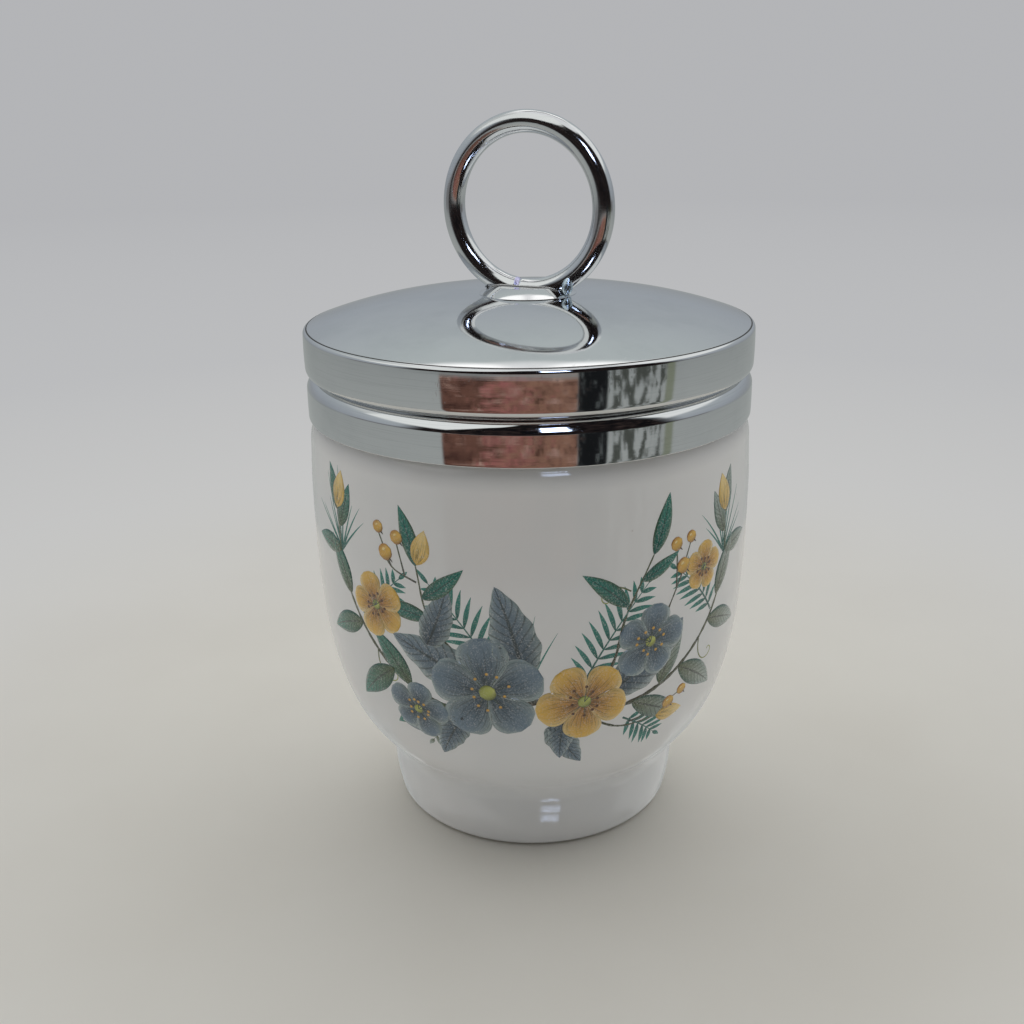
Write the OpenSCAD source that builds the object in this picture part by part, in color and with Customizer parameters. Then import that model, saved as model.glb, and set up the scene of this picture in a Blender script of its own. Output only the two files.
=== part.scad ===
// Porcelain egg coddler with a chromed screw collar and screw lid.
// Millimetres, +Z up. The origin is the centre of the foot ring's rest face.
// The lifting ring stands in the XZ plane, so its eye looks along Y.

/* [Foot] */
// Radius of the foot where it meets the bowl
foot_r = 20.1; // [17:0.1:23]
// How much narrower the foot is at the table
foot_taper = 0.8; // [0:0.1:1.5]
// Height of the crease between foot and bowl
foot_h = 9.4; // [7:0.1:11]
// How far the rounding in the crease reaches along foot and bowl
foot_fillet = 1.8; // [0.5:0.1:3]
// Rounding of the foot's outer lower edge
foot_edge_r = 1.4; // [0.5:0.1:2]
// Rounding of the foot's inner lower edge
foot_inner_edge_r = 0.7; // [0.3:0.1:1]
// Thickness of the foot ring
foot_wall_t = 3.2; // [2.8:0.1:4.5]
// Depth of the hollow under the cup
recess_depth = 6; // [3:0.1:7]
// Rounding between the hollow's wall and its ceiling
recess_corner_r = 2; // [0.5:0.1:3]

/* [Bowl] */
// Thickness of the cup's floor over the hollow
floor_t = 3.2; // [2.5:0.1:5]
// Thickness of the bowl's wall at the belly
wall_t = 3; // [2.2:0.1:4]
// How far the belly stands out beyond the collar
belly_swell = 0.25; // [0.1:0.05:3]
// Height of the largest radius
belly_z = 46.5; // [40:0.5:50]
// Angle at which the bowl leaves the foot
bowl_angle = 44; // [30:1:60]
// How long the bowl keeps the direction in which it leaves the foot
bowl_low_pull = 12.3; // [6:0.1:16]
// How long the bowl runs upright below the belly
bowl_high_pull = 14.5; // [8:0.1:20]
// Height of the inner corner of the bowl above the crease
bowl_corner_h = 5; // [3:0.1:8]
// Height of the shoulder that carries the collar
shoulder_z = 56.05; // [52:0.05:62]
// Thickness of the neck between the cement and the mouth
neck_wall_t = 2.65; // [2.3:0.05:3.2]
// How far the porcelain rim stands above the collar
rim_proud = 0.7; // [0.5:0.05:1]
// Rounding of the rim towards the mouth
rim_round_r = 1.4; // [0.5:0.1:1.6]

/* [Collar] */
// How far the collar's band stands back from the lid's skirt
collar_inset = 0.1; // [0:0.05:0.5]
// Thickness of the collar's metal
collar_t = 0.9; // [0.6:0.05:1.2]
// Height of the ledge that the lid seats on, above the cup's shoulder
collar_h = 5.65; // [4.5:0.05:8]
// Rounding between the band and the ledge
collar_round_r = 1.65; // [0.8:0.05:1.75]
// Rounding of the band's lower edge
collar_edge_r = 0.25; // [0.1:0.05:0.4]
// Depth of the metal under the ledge at the neck
ledge_t = 1; // [0.7:0.1:1.2]
// Height of the threaded neck above the ledge
neck_h = 4.5; // [4:0.1:6]
// Chamfer on the neck's upper edge
neck_chamfer = 0.3; // [0.1:0.05:0.5]
// Thickness of the cement between collar and porcelain
cement_t = 0.35; // [0.2:0.05:0.6]
// How far the cement stops short of the neck's upper edge
cement_recess = 0.2; // [0.1:0.05:0.5]

/* [Thread] */
// Rise of the lid in one turn
thread_pitch = 2.4; // [2.2:0.1:2.8]
// Height of a ridge from its wall
thread_depth = 0.75; // [0.5:0.05:0.85]
// Clearance between a ridge's crest and the opposite wall
thread_gap = 0.25; // [0.2:0.05:0.35]
// Width of a ridge at its root
ridge_base_w = 1.2; // [0.9:0.05:1.3]
// Width of a ridge at its crest
ridge_crest_w = 0.6; // [0.3:0.05:0.8]
// Distance of the ridges from the ledge and from the neck's upper edge
thread_margin = 0.3; // [0.2:0.05:0.4]
// Angle over which a ridge rises from its wall at each end
ridge_fade_angle = 30; // [15:5:60]

/* [Lid] */
// Outside radius of the lid
lid_r = 29; // [26:0.1:33]
// Thickness of the skirt behind the thread
skirt_t = 2; // [1.85:0.05:2.5]
// Height above the threaded neck at which the dome's line meets the skirt's line
skirt_over_neck = 0.9; // [0.7:0.1:2]
// Rounding of the skirt's lower edge
lip_round_r = 0.65; // [0.3:0.05:0.9]
// Rounding between dome and skirt
rim_edge_r = 0.8; // [0.5:0.05:1.4]
// Rise of the dome above the skirt
dome_rise = 3.6; // [2.5:0.1:6]
// How full the dome is: a larger value gives a flatter crown
dome_power = 2.3; // [2:0.1:3]
// How far the flat land in the middle of the dome reaches beyond the boss
land_margin = 0.35; // [0.1:0.05:1.5]
// Thickness of the dome
dome_t = 1.1; // [0.8:0.05:1.3]
// Chamfer inside the lid where the skirt meets the dome
lid_chamfer = 0.6; // [0.3:0.1:0.8]

/* [Boss] */
// Radius of the boss that carries the ring
boss_r = 6.25; // [5.8:0.05:6.4]
// Height of the boss above the dome
boss_h = 0.95; // [0.8:0.05:2.5]
// Rounding of the boss's upper edge
boss_round_r = 0.35; // [0.1:0.05:0.5]
// Depth of the slot that the ring is soldered into
slot_depth = 0.45; // [0.2:0.05:0.7]
// Radius of the tenon that passes through the lid
tenon_r = 2.5; // [2:0.05:3]
// Radial clearance of the tenon in the lid and in the washer
tenon_gap = 0.05; // [0.02:0.01:0.08]
// Radius of the tenon's peened head
head_r = 3.6; // [3.4:0.05:4.5]
// Height of the peened head
head_h = 0.9; // [0.6:0.05:1.2]
// Radius of the flat under the peened head
head_flat_r = 1.8; // [1:0.05:2.5]
// Height of the peened head's upright edge
head_edge_h = 0.3; // [0.1:0.05:0.4]
// Radius of the washer under the dome
washer_r = 5.5; // [5:0.05:6.2]
// Thickness of the washer
washer_t = 0.8; // [0.5:0.05:1]
// Chamfer on the washer's lower edge
washer_chamfer = 0.2; // [0.1:0.05:0.3]

/* [Ring] */
// Radius of the lifting ring to the middle of its wire
ring_r = 10.3; // [9:0.1:13]
// Radius of the ring's wire
wire_r = 1.4; // [1.1:0.05:1.8]
// How far the ring's underside is filed flat
ring_flat = 1.5; // [0.5:0.05:1.8]
// Clearance of the wire in the slot's sides
slot_gap = 0.04; // [0.02:0.01:0.1]

/* [Hidden] */

$fn = 96;
curve_steps = 24;
arc_steps = 6;
thread_steps_per_turn = 48;
// The ridges' roots lie this far inside their walls, so that no gap opens between flat facets and round wall.
ridge_root_depth = 0.15;
full_turn = 360;
// At its ends a ridge keeps this share of its height, so that no facet has zero width.
ridge_end_share = 0.05;
// How far cutting bodies reach past what they cut
overcut = 1;

// Heights, from the table up
floor_z = recess_depth + floor_t;
ledge_z = shoulder_z + collar_h;
neck_top_z = ledge_z + neck_h;
rim_z = neck_top_z + rim_proud;
cement_top_z = neck_top_z - cement_recess;
crown_z = neck_top_z + skirt_over_neck + dome_rise;
ceiling_z = crown_z - dome_t;
slot_z = crown_z + boss_h - slot_depth;
ring_z = slot_z + ring_r + wire_r - ring_flat;

// Radii of the lid, the thread, the collar, the cement and the mouth, from the skirt inwards
skirt_in_r = lid_r - skirt_t;
thread_core_r = skirt_in_r - thread_gap - thread_depth;
neck_in_r = thread_core_r - collar_t;
neck_seat_r = neck_in_r - cement_t;
mouth_r = neck_seat_r - neck_wall_t;

// Radii of the collar's band, the cement behind it and the bowl
collar_r = lid_r - collar_inset;
band_in_r = collar_r - collar_t;
band_seat_r = band_in_r - cement_t;
belly_r = collar_r + belly_swell;
bowl_in_r = belly_r - wall_t;

// Radii of the foot at the table, the hollow under the cup and the land under the boss
foot_base_r = foot_r - foot_taper;
recess_r = foot_base_r - foot_wall_t;
land_r = boss_r + land_margin;

// The step inside the collar, as heights at the band and at the neck
step_low_z = ledge_z - collar_round_r - collar_t / 2;
step_high_z = ledge_z - ledge_t;

ridge_turns = (neck_h - 2 * thread_margin - ridge_base_w) / thread_pitch;
ridge_start_z = ledge_z + thread_margin + ridge_base_w / 2;

// Points of a cubic curve between two ends, each with its own handle
function curve(p0, h0, h1, p1) = [
    for (i = [0:curve_steps])
        let (t = i / curve_steps)
        pow(1 - t, 3) * p0 + 3 * pow(1 - t, 2) * t * h0 + 3 * (1 - t) * t * t * h1 + pow(t, 3) * p1
];

// Points of an arc about a centre, from one angle to another
function arc(centre, r, from, to) = [
    for (i = [0:arc_steps])
        let (a = from + (to - from) * i / arc_steps)
        centre + r * [cos(a), sin(a)]
];

// Drop and slope of the dome at a radius
function dome_share(r) = max(0, r - land_r) / (lid_r - land_r);
function dome_z(r) = crown_z - dome_rise * pow(dome_share(r), dome_power);
function dome_slope(r) = atan(dome_rise * dome_power * pow(dome_share(r), dome_power - 1) / (lid_r - land_r));

// Outside of the cup from the rest face up to the shoulder
crease = [foot_r, foot_h];
bowl_direction = [cos(bowl_angle), sin(bowl_angle)];
foot_wall_bottom = [foot_base_r, foot_edge_r];
foot_wall_end = crease + foot_fillet * (foot_wall_bottom - crease) / norm(foot_wall_bottom - crease);
bowl_start = crease + foot_fillet * bowl_direction;
function foot_outline() = concat(
    arc([foot_base_r - foot_edge_r, foot_edge_r], foot_edge_r, -90, 0),
    [
        for (i = [0:arc_steps - 1])
            let (t = i / arc_steps)
            pow(1 - t, 2) * foot_wall_end + 2 * (1 - t) * t * crease + t * t * bowl_start
    ]
);
function bowl_outline() = curve(
    bowl_start,
    crease + bowl_low_pull * bowl_direction,
    [belly_r, belly_z - bowl_high_pull],
    [belly_r, belly_z]
);
function upper_outline() = curve(
    [belly_r, belly_z],
    [belly_r, belly_z + (shoulder_z - belly_z) / 3],
    [collar_r + (belly_r - collar_r) / 3, shoulder_z - (shoulder_z - belly_z) / 3],
    [collar_r, shoulder_z]
);

// The stepped neck that the cement grips, up to the rim
function neck_outline() = [
    [band_seat_r, shoulder_z],
    [band_seat_r, step_low_z - cement_t],
    [neck_seat_r, step_high_z - cement_t]
];
function rim_outline() = concat(
    arc([neck_seat_r - rim_proud, rim_z - rim_proud], rim_proud, 0, 90),
    arc([mouth_r + rim_round_r, rim_z - rim_round_r], rim_round_r, 90, 180)
);

// Inside of the cup from the mouth down to the middle of the floor
function inside_outline() = concat(
    curve(
        [mouth_r, step_high_z],
        [mouth_r, (step_high_z + belly_z) / 2],
        [bowl_in_r, (step_high_z + belly_z) / 2],
        [bowl_in_r, belly_z]
    ),
    curve(
        [bowl_in_r, belly_z - wall_t],
        [bowl_in_r, foot_h + bowl_corner_h],
        [foot_r, floor_z],
        [0, floor_z]
    )
);

// Hollow under the cup
function recess_outline() = concat(
    [[0, recess_depth]],
    arc([recess_r - recess_corner_r, recess_depth - recess_corner_r], recess_corner_r, 90, 0),
    arc([recess_r + foot_inner_edge_r, foot_inner_edge_r], foot_inner_edge_r, 180, 270)
);

module porcelain_cup() {
    color("white")
        rotate_extrude()
            polygon(concat(
                foot_outline(),
                bowl_outline(),
                upper_outline(),
                neck_outline(),
                rim_outline(),
                inside_outline(),
                recess_outline()
            ));
}

// Cement fills the space between the stepped neck and the collar.
module collar_cement() {
    color("lightgray")
        rotate_extrude()
            polygon([
                [band_seat_r, shoulder_z],
                [band_in_r, shoulder_z],
                [band_in_r, step_low_z],
                [neck_in_r, step_high_z],
                [neck_in_r, cement_top_z],
                [neck_seat_r, cement_top_z],
                [neck_seat_r, step_high_z - cement_t],
                [band_seat_r, step_low_z - cement_t]
            ]);
}

// One helical ridge, with its root just inside the wall that carries it. It fades into the wall at both ends.
module ridge(root_r, crest_r, start_angle) {
    steps = ceil(ridge_turns * thread_steps_per_turn);
    step_angle = ridge_turns * full_turn / steps;
    fade_steps = ridge_fade_angle / step_angle;
    // Along the ridge, each station has four corners: lower root, lower crest, upper crest, upper root.
    points = [
        for (i = [0:steps])
            let (
                a = start_angle + i * step_angle,
                z = ridge_start_z + thread_pitch * i * step_angle / full_turn,
                fade = max(ridge_end_share, min(1, i / fade_steps, (steps - i) / fade_steps)),
                r = root_r + (crest_r - root_r) * fade
            )
            for (corner = [
                [root_r, -ridge_base_w / 2],
                [r, -ridge_crest_w / 2],
                [r, ridge_crest_w / 2],
                [root_r, ridge_base_w / 2]
            ])
                [corner[0] * cos(a), corner[0] * sin(a), z + corner[1]]
    ];
    sides = [
        for (i = [0:steps - 1])
            for (j = [0:3])
                let (
                    here = 4 * i + j,
                    beside = 4 * i + (j + 1) % 4,
                    ahead = here + 4,
                    across = beside + 4
                )
                for (triangle = [[here, ahead, across], [here, across, beside]])
                    triangle
    ];
    last = 4 * steps;
    ends = [[0, 1, 2], [0, 2, 3], [last, last + 2, last + 1], [last, last + 3, last + 2]];
    outward = [for (face = concat(sides, ends)) crest_r < root_r ? face : [face[2], face[1], face[0]]];
    polyhedron(points = points, faces = outward);
}

module screw_collar() {
    color("silver") {
        rotate_extrude()
            polygon(concat(
                [[band_in_r, shoulder_z]],
                arc([collar_r - collar_edge_r, shoulder_z + collar_edge_r], collar_edge_r, -90, 0),
                arc([collar_r - collar_round_r, ledge_z - collar_round_r], collar_round_r, 0, 90),
                [
                    [thread_core_r, ledge_z],
                    [thread_core_r, neck_top_z - neck_chamfer],
                    [thread_core_r - neck_chamfer, neck_top_z],
                    [neck_in_r, neck_top_z],
                    [neck_in_r, step_high_z],
                    [band_in_r, step_low_z]
                ]
            ));
        ridge(thread_core_r - ridge_root_depth, thread_core_r + thread_depth, 0);
    }
}

// Outside of the lid from the skirt's lower lip to the middle of the dome
function lid_outside() =
    let (
        slope = dome_slope(lid_r - rim_edge_r / 2),
        edge_r = lid_r - rim_edge_r + rim_edge_r * sin(slope),
        edge_centre = [lid_r - rim_edge_r, dome_z(edge_r) - rim_edge_r * cos(slope)]
    )
    concat(
        arc([lid_r - lip_round_r, ledge_z + lip_round_r], lip_round_r, -90, 0),
        arc(edge_centre, rim_edge_r, 0, 90 - slope),
        [
            for (i = [1:curve_steps])
                let (r = edge_r + (land_r - edge_r) * i / curve_steps)
                [r, dome_z(r)]
        ],
        [[0, crown_z]]
    );

// Underside of the dome from its middle out to the skirt, and down the skirt
function lid_inside() =
    let (corner_z = dome_z(skirt_in_r) - dome_t)
    concat(
        [[0, ceiling_z]],
        [
            for (i = [0:curve_steps])
                let (r = land_r + (skirt_in_r - lid_chamfer - land_r) * i / curve_steps)
                [r, dome_z(r) - dome_t]
        ],
        [
            [skirt_in_r, corner_z - lid_chamfer],
            [skirt_in_r, ledge_z]
        ]
    );

module lid_shell() {
    color("silver")
        difference() {
            union() {
                rotate_extrude()
                    polygon(concat(lid_outside(), lid_inside()));
                ridge(skirt_in_r + ridge_root_depth, skirt_in_r - thread_depth, full_turn / 2);
            }
            translate([0, 0, ceiling_z - overcut])
                cylinder(r = tenon_r + tenon_gap, h = dome_t + 2 * overcut);
        }
}

// A low turned boss with a tenon that passes through the lid and is peened over the washer
module ring_boss() {
    head_top_z = ceiling_z - washer_t;
    color("silver")
        difference() {
            rotate_extrude()
                polygon(concat(
                    [
                        [0, head_top_z - head_h],
                        [head_flat_r, head_top_z - head_h],
                        [head_r, head_top_z - head_edge_h],
                        [head_r, head_top_z],
                        [tenon_r, head_top_z],
                        [tenon_r, crown_z],
                        [boss_r, crown_z]
                    ],
                    arc([boss_r - boss_round_r, crown_z + boss_h - boss_round_r], boss_round_r, 0, 90),
                    [[0, crown_z + boss_h]]
                ));
            translate([-boss_r - overcut, -wire_r - slot_gap, slot_z])
                cube([2 * (boss_r + overcut), 2 * (wire_r + slot_gap), slot_depth + overcut]);
        }
}

module rivet_washer() {
    color("goldenrod")
        rotate_extrude()
            polygon([
                [tenon_r + tenon_gap, ceiling_z - washer_t],
                [washer_r - washer_chamfer, ceiling_z - washer_t],
                [washer_r, ceiling_z - washer_t + washer_chamfer],
                [washer_r, ceiling_z],
                [tenon_r + tenon_gap, ceiling_z]
            ]);
}

// A ring of round wire, filed flat underneath where it stands in the boss's slot
module lifting_ring() {
    ring_out_r = ring_r + wire_r;
    color("silver")
        difference() {
            translate([0, 0, ring_z])
                rotate([90, 0, 0])
                    rotate_extrude()
                        translate([ring_r, 0])
                            circle(r = wire_r);
            translate([-ring_out_r, -ring_out_r, slot_z - ring_out_r])
                cube([2 * ring_out_r, 2 * ring_out_r, ring_out_r]);
        }
}

porcelain_cup();
collar_cement();
screw_collar();
lid_shell();
ring_boss();
rivet_washer();
lifting_ring();
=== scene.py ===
"""Dresses the egg coddler: glazed cup with a printed spray, chromed collar, lid, boss and lifting ring."""

import random
from math import atan, ceil, cos, degrees, exp, hypot, pi, radians, sin, sqrt, tan

import bmesh
import bpy
import numpy as np
from mathutils import Matrix, Vector


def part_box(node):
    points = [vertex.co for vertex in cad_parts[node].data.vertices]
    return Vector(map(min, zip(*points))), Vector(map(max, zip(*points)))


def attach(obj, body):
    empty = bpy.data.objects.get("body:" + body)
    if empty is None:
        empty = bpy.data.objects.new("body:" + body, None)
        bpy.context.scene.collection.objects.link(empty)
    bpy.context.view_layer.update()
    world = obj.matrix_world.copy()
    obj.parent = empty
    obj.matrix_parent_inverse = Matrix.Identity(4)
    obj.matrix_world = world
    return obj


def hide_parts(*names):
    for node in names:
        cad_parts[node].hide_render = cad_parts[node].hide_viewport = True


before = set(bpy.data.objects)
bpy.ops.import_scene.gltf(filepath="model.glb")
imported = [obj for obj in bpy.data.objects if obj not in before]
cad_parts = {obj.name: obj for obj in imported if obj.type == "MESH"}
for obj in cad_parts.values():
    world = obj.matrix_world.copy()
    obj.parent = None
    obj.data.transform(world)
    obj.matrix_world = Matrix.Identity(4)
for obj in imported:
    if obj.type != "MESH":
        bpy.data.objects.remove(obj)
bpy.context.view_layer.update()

MM = 0.001
SEGMENTS = 384
ARC_STEPS = 8
CURVE_STEPS = 48
# A point this far from a rounding keeps the flat beside it shading flat.
SUPPORT = 0.06


# ---------------------------------------------------------------- sizes, in mm


def corners(node):
    """Lowest and highest corner of a CAD node in mm."""
    low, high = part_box(node)
    return Vector(low) / MM, Vector(high) / MM


cup_low, cup_high = corners("porcelain_cup")
collar_low, collar_high = corners("screw_collar")
lid_low, lid_high = corners("lid_shell")
boss_high = corners("ring_boss")[1]
washer_low, washer_high = corners("rivet_washer")
ring_low, ring_high = corners("lifting_ring")

# Read from the frame
BELLY_R = -cup_low.x
RIM_Z = cup_high.z
COLLAR_R = collar_high.x
SHOULDER_Z = collar_low.z
NECK_TOP_Z = collar_high.z
LID_R = lid_high.x
LEDGE_Z = lid_low.z
CROWN_Z = lid_high.z
BOSS_R = boss_high.x
BOSS_TOP_Z = boss_high.z
WASHER_LOW_Z = washer_low.z
CEILING_Z = washer_high.z
WIRE_R = ring_high.y
SLOT_Z = ring_low.z
RING_R = ring_high.x - WIRE_R
RING_Z = ring_high.z - ring_high.x

# The cup
FOOT_R = 20.1
FOOT_BASE_R = 19.3
FOOT_H = 9.4
FOOT_FILLET = 1.8
FOOT_EDGE_R = 1.4
FOOT_INNER_EDGE_R = 0.7
FOOT_BULGE = 0.26
RECESS_R = 16.1
RECESS_DEPTH = 6.0
RECESS_CORNER_R = 2.0
FLOOR_Z = 9.2
WALL_T = 3.0
BELLY_Z = 46.5
BOWL_ANGLE = radians(44)
BOWL_LOW_PULL = 12.3
BOWL_HIGH_PULL = 14.5
BOWL_CORNER_H = 5.0
MOUTH_R = 22.1
RIM_PROUD = 0.7
RIM_ROUND_R = 1.4
CEMENT_T = 0.35
# The glaze lies this far inside the CAD surface, which leaves room for the print's layers.
PRINT_ROOM = 0.05
# The glazed shoulder leans in by this many degrees under the collar's edge before it turns in sharply.
SHOULDER_LEAN = 36.5
SHOULDER_LEAN_R = 5.0
SHOULDER_TURN_R = 0.35

# The collar
METAL_T = 0.9
COLLAR_ROUND_R = 1.65
COLLAR_EDGE_R = 0.14
LEDGE_T = 1.0
NECK_CHAMFER = 0.3
CORE_R = 26.0
INNER_EDGE_R = 0.08
# How much narrower a turned band is at its edges than at its middle
BARREL = 0.045
COLLAR_BARREL = 0.02
# The collar's upper corner: a rounding, a flatter slope and the turn into the ledge. Each stretch has its
# radius and the angle over the horizontal at which it starts.
CORNER_ARCS = ((2.2, 90), (3.2, 33), (0.8, 21))

# The thread
PITCH = 2.4
RIDGE_H = 0.75
RIDGE_BASE_W = 1.2
RIDGE_CREST_W = 0.6
RIDGE_TURNS = 1.125
RIDGE_START_Z = LEDGE_Z + 0.9
RIDGE_FADE = 1 / 12

# The lid
SKIRT_T = 2.0
LIP_R = 0.65
LIP_H = 0.85
RIM_EDGE_R = 0.55
# A fine turned line between the dome and the rounding of its edge
RIM_LINE_W = 0.18
RIM_LINE_DEPTH = 0.05
DOME_RISE = 3.6
DOME_POWER = 2.3
LAND_R = 6.6
LID_CHAMFER = 0.6
HOLE_R = 2.55

# The boss
TENON_R = 2.5
HEAD_R = 3.6
HEAD_H = 0.9
HEAD_FLAT_R = 1.8
HEAD_EDGE_H = 0.3
HEAD_ROUNDINGS = (0.3, 0.2)
SLOT_GAP = 0.04
BOSS_EDGE_H = 0.004
BOSS_TURN_W = 0.3
# Slopes of the boss's flank at its top and at its foot, in degrees
BOSS_SLOPES = (16, 24.8)
BOSS_FLANK_W = (BOSS_TOP_Z - CROWN_Z - BOSS_EDGE_H) / tan(radians(sum(BOSS_SLOPES) / 2))
BOSS_LAND_R = BOSS_R - BOSS_FLANK_W
BOSS_STEPS = 33
BOSS_SHARP = radians(40)

# The ring: its wire is a little uneven, and drawn a trace thinner than the CAD's.
RING_STATIONS = 360
WIRE_SIDES = 72
WIRE_UNEVEN = 0.003
WIRE_SLACK = 0.01
# Its butt seam: how far it lies from the wire's lowest point, how far it slants to each side of that across
# the wire, its width and its depth. Stations lie closer together over SEAM_REACH widths on each side.
SEAM_ARC = -0.95
SEAM_SLANT = 0.28
SEAM_W = 0.32
SEAM_DEPTH = 0.16
SEAM_REACH = 4

# The solder: a bead along each side of the wire, and a wedge under each of its rises
BEAD_REACH = 5.0
BEAD_STEPS = 12
BEAD_R = 0.15
BEAD_TAPER = 0.12
BEAD_UNEVEN = 0.015
WEDGE_STEPS = 8
WEDGE_R = 0.26
WEDGE_END_R = 0.02
WEDGE_INSET = 0.7
WEDGE_SHORT = 0.15
WEDGE_LIFT = 0.08
CREASE_GAP = 0.02
BEAD_LIFT = 0.03
# The drop of solder at one side of the ring's foot, downwards: x, y, height over the crown and radius
DRIP = (
    (6.3, -0.8, 2.75, 0.08), (6.15, -1.0, 2.2, 0.44), (6.0, -1.15, 1.5, 0.68),
    (6.0, -1.28, 0.85, 0.66), (6.05, -1.36, 0.35, 0.4), (6.08, -1.4, 0.03, 0.1),
)

# The camera: its distance from the cup's axis, height, pitch, yaw, roll and turn about the cup
CAMERA_DISTANCE = 154.86
CAMERA_HEIGHT = 96.47
CAMERA_PITCH = radians(19.81)
CAMERA_YAW = radians(0.93)
CAMERA_ROLL = radians(-0.93)
CAMERA_TURN = radians(24.6)
CAMERA_LENS = 42.1875


# ---------------------------------------------------------------- outlines


def cubic(start, pull_a, pull_b, end, steps=CURVE_STEPS):
    """Points of a cubic curve between two ends, each with its own handle."""
    p = [Vector(v) for v in (start, pull_a, pull_b, end)]
    points = []
    for i in range(steps + 1):
        t = i / steps
        u = 1 - t
        points.append(u**3 * p[0] + 3 * u * u * t * p[1] + 3 * u * t * t * p[2] + t**3 * p[3])
    return points


def arc(centre, radius, start, end, steps=ARC_STEPS):
    """Points of an arc about a centre, from one angle in degrees to another."""
    points = []
    for i in range(steps + 1):
        a = radians(start + (end - start) * i / steps)
        points.append(Vector(centre) + radius * Vector((cos(a), sin(a))))
    return points


def turned(shape, steps=ARC_STEPS):
    """Points along corners (r, z, rounding), with a support point on each side of a rounding."""
    points = []
    for i, (r, z, rounding) in enumerate(shape):
        here = Vector((r, z))
        if rounding == 0:
            points.append(here)
            continue
        back = (Vector(shape[i - 1][:2]) - here).normalized()
        ahead = (Vector(shape[(i + 1) % len(shape)][:2]) - here).normalized()
        half = back.angle(ahead) / 2
        cut = rounding / tan(half)
        centre = here + (back + ahead).normalized() * rounding / sin(half)
        first = here + back * cut - centre
        last = here + ahead * cut - centre
        sweep = pi - 2 * half
        points.append(here + back * (cut + SUPPORT))
        for k in range(steps + 1):
            t = k / steps
            mixed = sin((1 - t) * sweep) * first + sin(t * sweep) * last
            points.append(centre + mixed / sin(sweep))
        points.append(here + ahead * (cut + SUPPORT))
    return points


def wall(start, end, steps, bulge=0.0):
    """Points between two ends, both left out, bulging outwards in r at the middle."""
    points = []
    for i in range(1, steps):
        t = i / steps
        point = Vector(start).lerp(Vector(end), t)
        point.x += bulge * (1 - (2 * t - 1) ** 2)
        points.append(point)
    return points


def chained_arcs(curves, side_r, top_z):
    """Points up a convex corner of tangent arcs, (radius, upper angle) each, between a side and a top."""
    ends = [start for _, start in curves[1:]] + [0]
    stretches = list(zip(curves, ends))
    points = []
    inset = 0.0
    for (r, start), end in stretches:
        inset += r * (cos(radians(end)) - cos(radians(start)))
    here = Vector((side_r - inset, top_z))
    for (r, start), end in stretches:
        turn = radians(start)
        centre = here - r * Vector((cos(turn), sin(turn)))
        stretch = arc(centre, r, start, end)
        points += stretch[:-1]
        here = stretch[-1]
    return (points + [here])[::-1]


def cup_outside():
    """The cup's outside from the foot's side up to the shoulder."""
    belly_r = BELLY_R - PRINT_ROOM
    crease = Vector((FOOT_R, FOOT_H))
    flare = Vector((cos(BOWL_ANGLE), sin(BOWL_ANGLE)))
    foot_wall_bottom = Vector((FOOT_BASE_R, FOOT_EDGE_R))
    wall_end = crease + FOOT_FILLET * (foot_wall_bottom - crease).normalized()
    bowl_start = crease + FOOT_FILLET * flare
    fillet = wall(foot_wall_bottom, wall_end, CURVE_STEPS // 2, FOOT_BULGE)
    for i in range(ARC_STEPS):
        t = i / ARC_STEPS
        fillet.append((1 - t) ** 2 * wall_end + 2 * (1 - t) * t * crease + t * t * bowl_start)
    low_pull = crease + BOWL_LOW_PULL * flare
    bowl = cubic(bowl_start, low_pull, (belly_r, BELLY_Z - BOWL_HIGH_PULL), (belly_r, BELLY_Z))
    lean = radians(SHOULDER_LEAN)
    top_r = COLLAR_R - PRINT_ROOM
    turn_z = SHOULDER_Z - SHOULDER_TURN_R
    top_z = turn_z - (SHOULDER_LEAN_R - SHOULDER_TURN_R) * sin(lean)
    third = (top_z - BELLY_Z) / 3
    high_pull = (top_r + (belly_r - top_r) / 4, top_z - third)
    upper = cubic((belly_r, BELLY_Z), (belly_r, BELLY_Z + third), high_pull, (top_r, top_z), CURVE_STEPS // 2)
    shoulder = arc((top_r - SHOULDER_LEAN_R, top_z), SHOULDER_LEAN_R, 0, SHOULDER_LEAN, 2 * ARC_STEPS)
    inset = SHOULDER_LEAN_R - (SHOULDER_LEAN_R - SHOULDER_TURN_R) * cos(lean)
    shoulder += arc((top_r - inset, turn_z), SHOULDER_TURN_R, SHOULDER_LEAN, 90)[1:]
    return fillet + bowl[:-1] + upper + shoulder[1:]


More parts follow.
